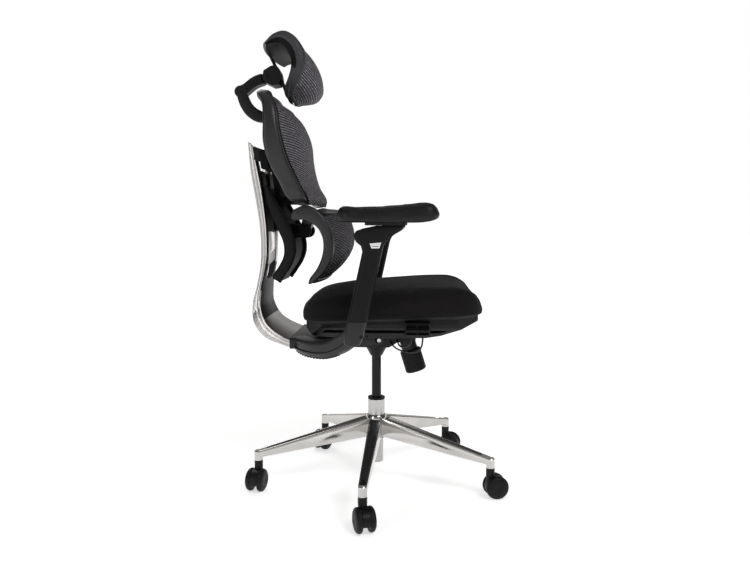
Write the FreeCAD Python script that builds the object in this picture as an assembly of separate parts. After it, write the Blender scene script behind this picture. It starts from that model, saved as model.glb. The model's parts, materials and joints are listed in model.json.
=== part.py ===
"""Swivel office chair: five-star base, gas lift, synchronous tilt, chrome back yoke, mesh back.

Millimetres. +Z up, the chair faces -Y, +X is the sitter's left.
The origin is on the floor under the gas-lift axis. One STEP file is written per sub-part.
"""
import FreeCAD
import Part
import math
import os
from FreeCAD import Vector

# ---------------------------------------------------------------- fits
RUNNING_FIT = 0.05      # radial clearance of a shaft that turns in its hole
SLIDE_FIT = 0.4         # clearance of a bar that slides in its sleeve
SEAT_GAP = 0.3          # gap under a part that rests on, and moves over, its carrier

# ---------------------------------------------------------------- base and casters
LEG_COUNT = 5
FIRST_LEG_DEG = 176.95
STEM_CIRCLE_R = 350.0   # gas-lift axis to caster stems
HUB_R = 31.0
HUB_BOTTOM = 133.0
HUB_TOP = 212.0
LEG_ROOT_R = 12.0
LEG_ROOT_TOP = 199.0
LEG_ROOT_BOTTOM = 140.0
LEG_TIP_TOP = 114.0
LEG_TIP_BOTTOM = 94.0
LEG_ROOT_HALF = 19.0
LEG_TIP_HALF = 12.0
LEG_EDGE = 3.0          # chamfer along the top edges of a leg
LEG_WALL = 6.0
LEG_CHANNEL_START_R = 62.0
LEG_CHANNEL_END_R = 322.0
BOSS_R = 12.0
BOSS_BOTTOM = 85.0
INLAY_START_R = 40.0
INLAY_END_R = 326.0
INLAY_ROOT_HALF = 13.0
INLAY_TIP_HALF = 7.5
INLAY_DEPTH = 4.4
INLAY_SUNK = 3.0         # face of the strip below the rims of the leg
INLAY_FIT = 0.2

STEM_R = 5.5
STEM_BOTTOM = 52.0
STEM_TOP = 108.0
WHEEL_R = 32.5
WHEEL_INNER = 10.6      # caster centre plane to the inner face of a wheel
WHEEL_OUTER = 27.5
HOOD_R = 30.0
HOOD_HALF = 10.2
HOOD_OPEN_DEG = 195.0   # how far the hood reaches round the axle
NECK_R = 12.2
TRAIL = 16.0            # stem axis to axle
AXLE_R = 3.0
CASTER_TRAIL_DEG = [200.0, 283.0, 250.0, 150.0, 168.0]   # rest heading of each caster

# ---------------------------------------------------------------- gas lift
TUBE_R = 25.0
TUBE_TOP = 249.0
TAPER_TOP = HUB_TOP
TAPER_BOTTOM = 150.0
TUBE_LOW_R = 20.6
TUBE_BOTTOM = 59.0
TUBE_BORE_R = 17.6
TUBE_FLOOR = 5.0
BUSH_HEIGHT = 6.0
BUSH_DEPTH = 24.0
ROD_R = 14.0
ROD_BOTTOM = 172.0
LIFT_TRAVEL = 100.0

# ---------------------------------------------------------------- mechanism under the seat
MECH_HALF = 66.0
MECH_FRONT = -116.0
MECH_REAR = 75.0
MECH_BOTTOM = 414.0
MECH_TOP = 450.0
MECH_REAR_TOP = 441.0
MECH_FRONT_BOTTOM = 436.0
FUNNEL_TOP_R = 36.0
FUNNEL_BOTTOM_R = 17.0
FUNNEL_BOTTOM = 379.0
ROD_TOP = 432.0
RECLINE_Y = -12.0
RECLINE_Z = 441.0
RECLINE_PIN_R = 6.0
RECLINE_PIN_HALF = 103.0
TILT_Y = -95.0
TILT_Z = 438.0
TILT_PIN_R = 5.0
KNOB_R = 31.0
KNOB_LENGTH = 66.0
KNOB_TOP_Y = -99.5
KNOB_TOP_Z = 398.5
KNOB_LEAN_DEG = 17.0
KNOB_NECK_R = 23.5
KNOB_SCREW_R = 6.0
KNOB_RIBS = 24

# ---------------------------------------------------------------- seat
PAN_HALF = 205.0
PAN_BOTTOM_HALF = 158.0
PAN_FRONT = -285.0
PAN_REAR = 187.0
PAN_REAR_TOP = 507.0
PAN_FRONT_TOP = 526.0
PAN_BOTTOM = 457.0
PAN_WALL = 5.0
RECESS_HALF = 110.0     # room for the back arms under the pan
RECESS_TOP = 470.0
CARRIER_HALF = 73.0
CARRIER_THICK = 6.0
CARRIER_EAR = 5.0
CUSHION_HALF = 257.0
CUSHION_FRONT = -299.0
CUSHION_REAR = 194.0
CUSHION_TOP = 610.0
BOX_FRONT = -152.0      # control box on the sitter's right
BOX_REAR = -86.0
BOX_OUT = 238.0
BOX_BOTTOM = 475.0
BOX_TOP = 510.0
PADDLE_REACH = 26.0
PADDLE_THICK = 5.0
CABLE_R = 2.4
TILT_CABLE = [(-222, -133, 474.6), (-221, -133, 453), (-205, -125, 430), (-175, -106, 420), (-140, -84, 416),
              (-108, -62, 418), (-84, -48, 426), (-67.4, -43, 433.4)]
LIFT_CABLE = [(-208, -104, 474.6), (-206, -104, 458), (-190, -96, 441), (-162, -84, 432), (-128, -72, 428),
              (-96, -66, 431), (-67.4, -62.2, 437.6)]

# ---------------------------------------------------------------- back bracket, yoke and arms
BRACKET_REAR = 236.0
BRACKET_REAR_HALF = 140.0
EAR_INNER = 78.0
EAR_OUTER = 98.0
EAR_R = 12.5
BRACKET_BOTTOM = 418.0
BRACKET_TOP = 451.0
POST_X = 312.0
POST_LEAN_DEG = 12.3
POST_FOOT_Y = 34.0
POST_FOOT_Z = 524.0
SLEEVE_DEPTH = 50.0
SLEEVE_WIDTH = 34.0
SLEEVE_CORNER = 8.0
SLEEVE_TOP_Z = 712.0
COLUMN_DEPTH = 32.0
COLUMN_WIDTH = 15.0
COLUMN_FOOT_Z = 482.0
COLUMN_TOP_Z = 690.0
HEAD_TOP_Z = 765.0
PLATE_THICK = 8.0
PLATE_PIVOT_Y = -38.0
PLATE_PIVOT_R = 9.0
BUTTON_Y = -13.0
BUTTON_Z = 724.0
BUTTON_WIDTH = 30.0
BUTTON_HEIGHT = 16.0
BUTTON_DEPTH = 7.0
BUTTON_PROUD = 1.6
PAD_X = 302.0
PAD_HALF = 48.0
PAD_FRONT = -175.0
PAD_REAR = 87.0
PAD_BOTTOM = 774.0

# ---------------------------------------------------------------- backrest
PANEL_FOOT_Y = 297.0    # foot of the plane along which the back slides up
PANEL_FOOT_Z = 748.0
PANEL_LEAN_DEG = 8.1
PANEL_TOP_Z = 918.0
PANEL_HALF = 80.0
PANEL_BOX_HALF = 41.0
PANEL_FLANGE = 9.0
TONGUE_HALF = 24.0
TONGUE_DEPTH = 12.0
CLAMP_INNER = 72.0
CLAMP_OUTER = 108.0
CLAMP_BOTTOM = 936.0
CLAMP_TOP = 979.0
RAIL_INNER = 88.0
RAIL_OUTER = 112.0
BACK_HALF = 233.0
BAND_INNER = 203.0
MESH_THICK = 2.0
MESH_INSET = 4.0

LUMBAR_HALF = 203.0
LUMBAR_INNER = 176.0
LUMBAR_PIN_Y = 207.0
LUMBAR_PIN_Z = 748.0
LUMBAR_PIN_R = 5.0
LUMBAR_KNUCKLE_R = 18.0
LUMBAR_KNUCKLE_HALF = 30.0

HEAD_HALF = 150.0
HEAD_BAND_INNER = 128.0
LOW_KNUCKLE_Y = 393.0
LOW_KNUCKLE_Z = 1150.0
HIGH_KNUCKLE_Y = 309.0
HIGH_KNUCKLE_Z = 1190.0
KNUCKLE_R = 17.0
KNUCKLE_PIN_R = 5.0
TONGUE_EYE_HALF = 8.0
FORK_HALF = 17.0
STEM_FOOT_FRONT = 300.0
STEM_FOOT_REAR = 312.0
STEM_FOOT_HALF = 20.0
STEM_FOOT_BOTTOM = 970.0
HOLDER_LOOP_TOP = 1018.0

X_AXIS = Vector(1, 0, 0)
Y_AXIS = Vector(0, 1, 0)
Z_AXIS = Vector(0, 0, 1)


# ---------------------------------------------------------------- helpers
def save(name, *solids):
    """Write one sub-part; several solids go into one compound."""
    shape = solids[0] if len(solids) == 1 else Part.makeCompound(list(solids))
    shape.exportStep(f"parts/{name}.step")
    print(name, len(shape.Solids), "solids", round(shape.Volume / 1000, 1), "cm3", shape.isValid())


def mirrored(shape):
    """The same shape on the other side of the chair."""
    return shape.mirror(Vector(0, 0, 0), X_AXIS)


def both_sides(shape):
    return [shape, mirrored(shape)]


def side_wire(points, x=0.0):
    """Closed polygon from (y, z) points, in the plane across the chair at x."""
    return Part.makePolygon([Vector(x, y, z) for y, z in points + points[:1]])


def curve(points, x=0.0):
    """Smooth edge through (y, z) points at x."""
    line = Part.BSplineCurve()
    line.interpolate([Vector(x, y, z) for y, z in points])
    return line.toShape()


def band_wire(front, rear, x=0.0):
    """Closed wire between two smooth edges that run the same way."""
    first = curve(front, x)
    last = curve(rear, x)
    top = Part.makeLine(Vector(x, *front[0]), Vector(x, *rear[0]))
    bottom = Part.makeLine(Vector(x, *front[-1]), Vector(x, *rear[-1]))
    return Part.Wire(Part.__sortEdges__([first, bottom, last, top]))


def across(wire, low, high):
    """Solid of a side outline between two planes across the chair."""
    face = Part.Face(wire)
    start = face.BoundBox.XMin
    face.translate(Vector(low - start, 0, 0))
    return face.extrude(Vector(high - low, 0, 0))


def plan_solid(points, low, high):
    """Solid of an (x, y) polygon between two heights."""
    face = Part.Face(Part.makePolygon([Vector(x, y, low) for x, y in points + points[:1]]))
    return face.extrude(Vector(0, 0, high - low))


def front_solid(points, low, high):
    """Solid of an (x, z) polygon between two y planes."""
    face = Part.Face(Part.makePolygon([Vector(x, low, z) for x, z in points + points[:1]]))
    return face.extrude(Vector(0, high - low, 0))


def box(x0, x1, y0, y1, z0, z1):
    return Part.makeBox(x1 - x0, y1 - y0, z1 - z0, Vector(x0, y0, z0))


def bar_x(radius, low, high, y, z):
    """Round bar across the chair."""
    return Part.makeCylinder(radius, high - low, Vector(low, y, z), X_AXIS)


def rounded_face(width, depth, radius, centre):
    """Rounded rectangle in a level plane: width along X, depth along Y."""
    a = width / 2
    b = depth / 2
    r = radius
    corners = [(a - r, b - r, 0), (r - a, b - r, 90), (r - a, r - b, 180), (a - r, r - b, 270)]
    arcs = []
    for x, y, start in corners:
        circle = Part.Circle(centre + Vector(x, y, 0), Z_AXIS, r)
        arcs.append(Part.ArcOfCircle(circle, math.radians(start), math.radians(start + 90)).toShape())
    edges = []
    for i, arc in enumerate(arcs):
        edges.append(arc)
        following = arcs[(i + 1) % len(arcs)]
        edges.append(Part.makeLine(arc.lastVertex().Point, following.firstVertex().Point))
    return Part.Face(Part.Wire(edges))


def mirror_points(points):
    """Outline of (x, other) points on the +X side, closed through the other side."""
    return points + [(-x, other) for x, other in reversed(points)]


def slide_point(along, out, x=0.0):
    """Point in the slide plane's own directions: up along it, and backwards out of it."""
    lean = math.radians(PANEL_LEAN_DEG)
    y = PANEL_FOOT_Y + along * math.sin(lean) + out * math.cos(lean)
    z = PANEL_FOOT_Z + along * math.cos(lean) - out * math.sin(lean)
    return (y, z)


def slide_block(half, along0, along1, out0, out1):
    """Block lined up with the slide plane."""
    outline = [slide_point(along0, out0), slide_point(along1, out0),
               slide_point(along1, out1), slide_point(along0, out1)]
    return across(side_wire(outline), -half, half)


def mesh_panel(edge, middle, half, stations=5):
    """Thin stretched panel: `edge` and `middle` are its (y, z) curves at the sides and centre."""
    wires = []
    for i in range(stations):
        x = half * (2 * i / (stations - 1) - 1)
        weight = 1 - (x / half) ** 2
        front = [(ye + (ym - ye) * weight, ze + (zm - ze) * weight)
                 for (ye, ze), (ym, zm) in zip(edge, middle)]
        rear = [(y + MESH_THICK, z) for y, z in front]
        wires.append(band_wire(front, rear, x))
    return Part.makeLoft(wires, True, False)


# ---------------------------------------------------------------- base
def leg_section(r, half, bottom, top):
    """Cross-section of a leg that runs along +X: flat top with chamfered edges."""
    low = half - 2 * LEG_EDGE
    points = [(-low, bottom), (low, bottom), (half, bottom + LEG_EDGE), (half, top - LEG_EDGE),
              (half - LEG_EDGE, top), (LEG_EDGE - half, top), (-half, top - LEG_EDGE),
              (-half, bottom + LEG_EDGE)]
    return Part.makePolygon([Vector(r, y, z) for y, z in points + points[:1]])


def leg_side(r, root, tip):
    """Straight-line value along a leg between its root and its tip."""
    return root + (tip - root) * (r - LEG_ROOT_R) / (STEM_CIRCLE_R - LEG_ROOT_R)


def leg_channel():
    """Open channel cast into the underside of a leg."""
    sections = []
    for r in (LEG_CHANNEL_START_R, LEG_CHANNEL_END_R):
        half = leg_side(r, LEG_ROOT_HALF, LEG_TIP_HALF) - LEG_WALL
        top = leg_side(r, LEG_ROOT_TOP, LEG_TIP_TOP) - LEG_WALL - INLAY_DEPTH
        low = leg_side(r, LEG_ROOT_BOTTOM, LEG_TIP_BOTTOM) - 1
        points = [(-half, low), (half, low), (half, top), (-half, top)]
        sections.append(Part.makePolygon([Vector(r, y, z) for y, z in points + points[:1]]))
    return Part.makeLoft(sections, True, True)


def inlay(fit, depth, proud):
    """Wedge strip let into the top of a leg."""
    plan = [(INLAY_START_R - fit, -INLAY_ROOT_HALF - fit), (INLAY_END_R + fit, -INLAY_TIP_HALF - fit),
            (INLAY_END_R + fit, INLAY_TIP_HALF + fit), (INLAY_START_R - fit, INLAY_ROOT_HALF + fit)]
    prism = plan_solid(plan, BOSS_BOTTOM, HUB_TOP)
    start = INLAY_START_R - 5
    end = INLAY_END_R + 5
    start_z = leg_side(start, LEG_ROOT_TOP, LEG_TIP_TOP)
    end_z = leg_side(end, LEG_ROOT_TOP, LEG_TIP_TOP)
    points = [(start, start_z - depth), (end, end_z - depth), (end, end_z + proud), (start, start_z + proud)]
    layer = front_solid(points, -2 * LEG_ROOT_HALF, 2 * LEG_ROOT_HALF)
    return prism.common(layer)


def around(shape, k):
    turned = shape.copy()
    turned.rotate(Vector(0, 0, 0), Z_AXIS, FIRST_LEG_DEG + 360.0 / LEG_COUNT * k)
    return turned


def tube_outline(gap):
    """Gas-lift tube's outer solid, opened by a gap for the hole that holds it."""
    straight = Part.makeCylinder(TUBE_R + gap, TUBE_TOP - TAPER_TOP, Vector(0, 0, TAPER_TOP))
    taper = Part.makeCone(TUBE_LOW_R + gap, TUBE_R + gap, TAPER_TOP - TAPER_BOTTOM,
                          Vector(0, 0, TAPER_BOTTOM))
    low = Part.makeCylinder(TUBE_LOW_R + gap, TAPER_BOTTOM - TUBE_BOTTOM, Vector(0, 0, TUBE_BOTTOM))
    return straight.fuse([taper, low]).removeSplitter()


def build_base():
    leg = Part.makeLoft([
        leg_section(LEG_ROOT_R, LEG_ROOT_HALF, LEG_ROOT_BOTTOM, LEG_ROOT_TOP),
        leg_section(STEM_CIRCLE_R, LEG_TIP_HALF, LEG_TIP_BOTTOM, LEG_TIP_TOP)], True, True)
    boss = Part.makeCylinder(BOSS_R, LEG_TIP_TOP - BOSS_BOTTOM, Vector(STEM_CIRCLE_R, 0, BOSS_BOTTOM))
    boss = boss.makeChamfer(2, [boss.Edges[0]])
    socket = Part.makeCylinder(STEM_R, STEM_TOP - BOSS_BOTTOM, Vector(STEM_CIRCLE_R, 0, BOSS_BOTTOM))
    leg = leg.cut(leg_channel()).fuse(boss).cut(inlay(INLAY_FIT, INLAY_DEPTH, 5)).cut(socket)
    hub = Part.makeCylinder(HUB_R, HUB_TOP - HUB_BOTTOM, Vector(0, 0, HUB_BOTTOM))
    star = hub.fuse([around(leg, k) for k in range(LEG_COUNT)])
    star = star.cut(tube_outline(RUNNING_FIT)).removeSplitter()
    save("base_star", star)
    strip = inlay(0, INLAY_DEPTH, -INLAY_SUNK)
    save("leg_inlays", *[around(strip, k) for k in range(LEG_COUNT)])
    stem = Part.makeCylinder(STEM_R, STEM_TOP - STEM_BOTTOM, Vector(STEM_CIRCLE_R, 0, STEM_BOTTOM))
    save("caster_stems", *[around(stem, k) for k in range(LEG_COUNT)])


def wheel_outline():
    """Half section of a domed wheel: (distance from caster centre, radius)."""
    return [(WHEEL_INNER, AXLE_R + RUNNING_FIT), (WHEEL_INNER, 30.4), (12.6, WHEEL_R), (18.0, WHEEL_R),
            (21.6, 31.0), (24.6, 27.0), (26.6, 20.0), (WHEEL_OUTER, 11.0), (26.6, 8.0),
            (26.6, AXLE_R + RUNNING_FIT)]


def build_wheel():
    points = [Vector(-TRAIL, side, WHEEL_R + radius) for side, radius in wheel_outline()]
    face = Part.Face(Part.makePolygon(points + points[:1]))
    return face.revolve(Vector(-TRAIL, 0, WHEEL_R), Y_AXIS, 360)


def build_housing():
    """Hood between the two wheels, its neck round the stem, and the axle."""
    drum = Part.makeCylinder(HOOD_R, 2 * HOOD_HALF, Vector(-TRAIL, -HOOD_HALF, WHEEL_R), Y_AXIS)
    below = box(-60, 60, -30, 30, -20, WHEEL_R - 9)
    neck = Part.makeCylinder(NECK_R, BOSS_BOTTOM - SEAT_GAP - WHEEL_R, Vector(0, 0, WHEEL_R))
    neck = neck.common(box(-40, 40, -HOOD_HALF, HOOD_HALF, 0, 66).fuse(box(-40, 40, -20, 20, 66, 90)))
    hollow = Part.makeCylinder(HOOD_R - 3, 2 * HOOD_HALF, Vector(-TRAIL, -HOOD_HALF, WHEEL_R), Y_AXIS)
    hollow = hollow.common(box(-60, -TRAIL + 8, -HOOD_HALF + 3, HOOD_HALF - 3, -20, WHEEL_R - 4))
    bore = Part.makeCylinder(STEM_R + RUNNING_FIT, 100, Vector(0, 0, STEM_BOTTOM - SEAT_GAP))
    hub_hole = Part.makeCylinder(AXLE_R, 80, Vector(-TRAIL, -40, WHEEL_R), Y_AXIS)
    hood = drum.cut(below).fuse(neck).cut(hollow).cut(bore).cut(hub_hole).removeSplitter()
    axle = Part.makeCylinder(AXLE_R, 2 * 25.6, Vector(-TRAIL, -25.6, WHEEL_R), Y_AXIS)
    return hood, axle


def build_casters():
    hood, axle = build_housing()
    wheel_left = build_wheel()
    wheel_right = wheel_left.mirror(Vector(0, 0, 0), Y_AXIS)
    for k in range(LEG_COUNT):
        heading = CASTER_TRAIL_DEG[k] + 180
        angle = math.radians(FIRST_LEG_DEG + 360.0 / LEG_COUNT * k)
        spot = Vector(STEM_CIRCLE_R * math.cos(angle), STEM_CIRCLE_R * math.sin(angle), 0)

        def placed(shape):
            moved = shape.copy()
            moved.rotate(Vector(0, 0, 0), Z_AXIS, heading)
            moved.translate(spot)
            return moved

        save(f"caster_{k + 1}_housing", placed(hood), placed(axle))
        save(f"caster_{k + 1}_wheel_left", placed(wheel_left))
        save(f"caster_{k + 1}_wheel_right", placed(wheel_right))


# ---------------------------------------------------------------- gas lift
def build_gas_lift():
    bore = Part.makeCylinder(TUBE_BORE_R, TUBE_TOP - TUBE_BOTTOM - TUBE_FLOOR,
                             Vector(0, 0, TUBE_BOTTOM + TUBE_FLOOR))
    save("gas_cylinder", tube_outline(0).cut(bore))
    plug = Part.makeCylinder(TUBE_BORE_R, BUSH_DEPTH, Vector(0, 0, TUBE_TOP - BUSH_DEPTH))
    collar = Part.makeCylinder(TUBE_R + 0.6, BUSH_HEIGHT, Vector(0, 0, TUBE_TOP))
    hole = Part.makeCylinder(ROD_R + RUNNING_FIT, 60, Vector(0, 0, TUBE_TOP - 40))
    save("cylinder_bush", plug.fuse(collar).cut(hole).removeSplitter())
    save("gas_piston", Part.makeCylinder(ROD_R, ROD_TOP - ROD_BOTTOM, Vector(0, 0, ROD_BOTTOM)))


# ---------------------------------------------------------------- mechanism
def knob_frame(shape):
    """Stand a shape made along -Z from the origin on the leaning knob axis."""
    placed = shape.copy()
    placed.rotate(Vector(0, 0, 0), X_AXIS, -KNOB_LEAN_DEG)
    placed.translate(Vector(0, KNOB_TOP_Y, KNOB_TOP_Z))
    return placed


def build_mechanism():
    outline = [(MECH_FRONT, MECH_FRONT_BOTTOM), (-62, 428), (-40, MECH_BOTTOM), (MECH_REAR - 12, MECH_BOTTOM),
               (MECH_REAR, MECH_BOTTOM + 8), (MECH_REAR, MECH_REAR_TOP), (20, MECH_TOP),
               (MECH_FRONT, MECH_TOP)]
    body = across(side_wire(outline), -MECH_HALF, MECH_HALF)
    funnel = Part.makeCone(FUNNEL_BOTTOM_R, FUNNEL_TOP_R, MECH_BOTTOM - FUNNEL_BOTTOM,
                           Vector(0, 0, FUNNEL_BOTTOM))
    bore = Part.makeCylinder(ROD_R + RUNNING_FIT, ROD_TOP + 2 - FUNNEL_BOTTOM, Vector(0, 0, FUNNEL_BOTTOM))
    neck = knob_frame(Part.makeCylinder(KNOB_NECK_R, 60, Vector(0, 0, SEAT_GAP)))
    neck = neck.common(box(-60, 60, MECH_FRONT, 60, 300, MECH_TOP - 4).fuse(
        box(-60, 60, -200, 60, 300, MECH_FRONT_BOTTOM)))
    screw = knob_frame(Part.makeCylinder(KNOB_SCREW_R, 50, Vector(0, 0, -42)))
    trunnion = bar_x(TILT_PIN_R, -MECH_HALF - 8, MECH_HALF + 8, TILT_Y, TILT_Z)
    body = body.fuse([funnel, neck, screw, trunnion])
    body = body.cut(bore).cut(bar_x(RECLINE_PIN_R, -120, 120, RECLINE_Y, RECLINE_Z)).removeSplitter()
    save("mechanism_housing", body)
    save("recline_pin", bar_x(RECLINE_PIN_R, -RECLINE_PIN_HALF, RECLINE_PIN_HALF, RECLINE_Y, RECLINE_Z))
    knob = Part.makeCylinder(KNOB_R, KNOB_LENGTH, Vector(0, 0, -KNOB_LENGTH))
    knob = knob.makeChamfer(3, [e for e in knob.Edges if len(e.Vertexes) == 1])
    groove = Part.makeCylinder(1.6, KNOB_LENGTH - 16, Vector(KNOB_R, 0, 8 - KNOB_LENGTH))
    for i in range(KNOB_RIBS):
        cut = groove.copy()
        cut.rotate(Vector(0, 0, 0), Z_AXIS, 360.0 / KNOB_RIBS * i)
        knob = knob.cut(cut)
    hole = Part.makeCylinder(KNOB_SCREW_R + RUNNING_FIT, 43, Vector(0, 0, -43))
    save("tension_knob", knob_frame(knob.cut(hole)))


# ---------------------------------------------------------------- seat
def build_seat():
    slope = (PAN_REAR_TOP - PAN_FRONT_TOP) / (PAN_REAR - PAN_FRONT)
    side = [(PAN_FRONT, PAN_FRONT_TOP), (PAN_FRONT, 505), (-241, 488), (-182, 465), (-141, PAN_BOTTOM),
            (100, PAN_BOTTOM), (165, 464), (PAN_REAR - 1, 483), (PAN_REAR, PAN_REAR_TOP)]
    pan = across(side_wire(side), -PAN_HALF, PAN_HALF)
    front = mirror_points([(PAN_BOTTOM_HALF, PAN_BOTTOM - 1), (PAN_HALF - 6, 490), (PAN_HALF, 500),
                           (PAN_HALF, PAN_FRONT_TOP + 1)])
    pan = pan.common(front_solid(front, PAN_FRONT - 1, PAN_REAR + 1))
    plan = mirror_points([(150, PAN_FRONT - 1), (PAN_HALF + 1, PAN_FRONT + 60), (PAN_HALF + 1, PAN_REAR - 50),
                          (150, PAN_REAR + 1)])
    pan = pan.common(plan_solid(plan, PAN_BOTTOM - 2, PAN_FRONT_TOP + 2))
    recess = box(-RECESS_HALF, RECESS_HALF, -150, PAN_REAR + 5, PAN_BOTTOM - 5, RECESS_TOP)
    bowl = across(side_wire([(PAN_FRONT + 14, PAN_FRONT_TOP + 5), (PAN_FRONT + 14, 514), (-238, 497),
                             (-180, RECESS_TOP + PAN_WALL), (PAN_REAR - 14, RECESS_TOP + PAN_WALL),
                             (PAN_REAR - 14, PAN_REAR_TOP + 5)]), 16 - PAN_HALF, PAN_HALF - 16)
    bowl_plan = mirror_points([(138, PAN_FRONT + 13), (PAN_HALF - 15, PAN_FRONT + 68),
                               (PAN_HALF - 15, PAN_REAR - 58), (138, PAN_REAR - 13)])
    bowl = bowl.common(plan_solid(bowl_plan, PAN_BOTTOM, PAN_FRONT_TOP + 20))
    pan = pan.cut(recess).cut(bowl).removeSplitter()
    save("seat_pan", pan)

    plate = box(-CARRIER_HALF, CARRIER_HALF, -138, 120, RECESS_TOP - CARRIER_THICK, RECESS_TOP)
    ear_side = [(TILT_Y - 16, RECESS_TOP - 1), (TILT_Y - 9, TILT_Z - 9), (TILT_Y + 9, TILT_Z - 9),
                (TILT_Y + 26, RECESS_TOP - 1)]
    ear = across(side_wire(ear_side), CARRIER_HALF - CARRIER_EAR, CARRIER_HALF)
    carrier = plate.fuse(both_sides(ear))
    carrier = carrier.cut(bar_x(TILT_PIN_R + RUNNING_FIT, -100, 100, TILT_Y, TILT_Z))
    save("seat_carrier", carrier.removeSplitter())

    def deck(y):
        return PAN_FRONT_TOP + slope * (y - PAN_FRONT)

    top = [(CUSHION_REAR, 520), (CUSHION_REAR - 2, 558), (180, 574), (138, 586), (72, 599), (4, 605),
           (-70, 608), (-158, CUSHION_TOP), (-216, 605), (-260, 594), (-288, 577), (CUSHION_FRONT, 558),
           (CUSHION_FRONT + 3, 540)]
    side = top + [(-287, deck(-287)), (PAN_REAR, deck(PAN_REAR))]
    cushion = across(side_wire(side), -CUSHION_HALF, CUSHION_HALF)
    front = mirror_points([(CUSHION_HALF - 12, 500), (CUSHION_HALF, 530), (CUSHION_HALF, 560),
                           (CUSHION_HALF - 8, 585), (CUSHION_HALF - 30, 602), (CUSHION_HALF - 90, 612)])
    cushion = cushion.common(front_solid(front, CUSHION_FRONT - 5, CUSHION_REAR + 5))
    width = 2 * CUSHION_HALF
    depth = CUSHION_REAR - CUSHION_FRONT
    outline = rounded_face(width, depth, 70, Vector(0, (CUSHION_REAR + CUSHION_FRONT) / 2, 495))
    save("seat_cushion", cushion.common(outline.extrude(Vector(0, 0, 140))).removeSplitter())
    return pan


def cable_tube(points, radius):
    """Round tube along straight runs joined by tangent arcs; prints the bend radii."""
    corners = [Vector(*p) for p in points]
    edges = []
    bends = []
    start = corners[0]
    for before, corner, after in zip(corners, corners[1:], corners[2:]):
        back = (before - corner).normalize()
        ahead = (after - corner).normalize()
        turn = math.pi - back.getAngle(ahead)
        reach = 0.45 * min((before - corner).Length, (after - corner).Length)
        bend = reach / math.tan(turn / 2)
        bends.append(round(bend))
        first = corner + back * reach
        last = corner + ahead * reach
        inward = (back + ahead).normalize()
        middle = corner + inward * (bend / math.cos(turn / 2) - bend)
        edges.append(Part.makeLine(start, first))
        edges.append(Part.Arc(first, middle, last).toShape())
        start = last
    edges.append(Part.makeLine(start, corners[-1]))
    path = Part.Wire(edges)
    circle = Part.Circle(corners[0], corners[1] - corners[0], radius)
    tube = path.makePipeShell([Part.Wire(circle.toShape())], True, True)
    print("cable", round(path.Length), "mm, bends", bends, "section check",
          round(tube.Volume / (path.Length * math.pi * radius ** 2), 3))
    return tube


def build_controls(pan):
    """Box with two paddles on the sitter's right, and the two cables to the mechanism."""
    wall = PAN_HALF
    control = box(-BOX_OUT, -wall, BOX_FRONT, BOX_REAR, BOX_BOTTOM, BOX_TOP)
    control = control.makeChamfer(3, [e for e in control.Edges if abs(e.BoundBox.XMin + BOX_OUT) < 0.1
                                      and e.BoundBox.XLength < 0.1])
    tongue = box(-wall, -wall + 40, BOX_FRONT + 10, BOX_REAR - 10, BOX_BOTTOM - 4, 484)
    control = control.fuse(tongue)
    middle = (BOX_FRONT + BOX_REAR) / 2
    hinge_z = (BOX_BOTTOM + BOX_TOP) / 2
    slots = []
    paddles = {}
    for name, y0, y1 in (("height_lever", BOX_FRONT + 4, middle - 2), ("tilt_lever", middle + 2, BOX_REAR - 4)):
        slots.append(box(-BOX_OUT - 5, -BOX_OUT + 16, y0 - 0.5, y1 + 0.5, BOX_BOTTOM + 4, BOX_TOP - 4))
        blade = box(-BOX_OUT - PADDLE_REACH, -BOX_OUT + 8, y0, y1, hinge_z - PADDLE_THICK / 2,
                    hinge_z + PADDLE_THICK / 2)
        barrel = Part.makeCylinder(5, y1 - y0, Vector(-BOX_OUT + 8, y0, hinge_z), Y_AXIS)
        bore = Part.makeCylinder(2 + RUNNING_FIT, 80, Vector(-BOX_OUT + 8, BOX_FRONT - 5, hinge_z), Y_AXIS)
        paddles[name] = blade.fuse(barrel).cut(bore).removeSplitter()
    rod_hole = Part.makeCylinder(2, BOX_REAR - BOX_FRONT - 4, Vector(-BOX_OUT + 8, BOX_FRONT + 2, hinge_z), Y_AXIS)
    control = control.cut(slots[0]).cut(slots[1]).fuse(rod_hole).removeSplitter()
    save("control_box", control.cut(pan))
    for name, shape in paddles.items():
        save(name, shape)
    save("control_cables", cable_tube(TILT_CABLE, CABLE_R), cable_tube(LIFT_CABLE, CABLE_R))


# ---------------------------------------------------------------- back bracket and arms
def post_y(z):
    """Middle of the leaning arm post at a height."""
    return POST_FOOT_Y - (z - POST_FOOT_Z) * math.tan(math.radians(POST_LEAN_DEG))


def leaning(face_width, face_depth, corner, z0, z1):
    """Oblique prism along the post between two level planes."""
    face = rounded_face(face_width, face_depth, corner, Vector(POST_X, post_y(z0), z0))
    return face.extrude(Vector(0, post_y(z1) - post_y(z0), z1 - z0))


def wing_section(x, y, heading_deg, width, low, high, edge=6.0):
    """Upright chamfered section of the wing, square to its heading in plan."""
    across_dir = Vector(-math.sin(math.radians(heading_deg)), math.cos(math.radians(heading_deg)), 0)
    half = width / 2
    outline = [(-half + edge, low), (half - edge, low), (half, low + edge), (half, high - edge),
               (half - edge, high), (-half + edge, high), (-half, high - edge), (-half, low + edge)]
    points = [Vector(x, y, z) + across_dir * s for s, z in outline]
    return Part.makePolygon(points + points[:1])


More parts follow.
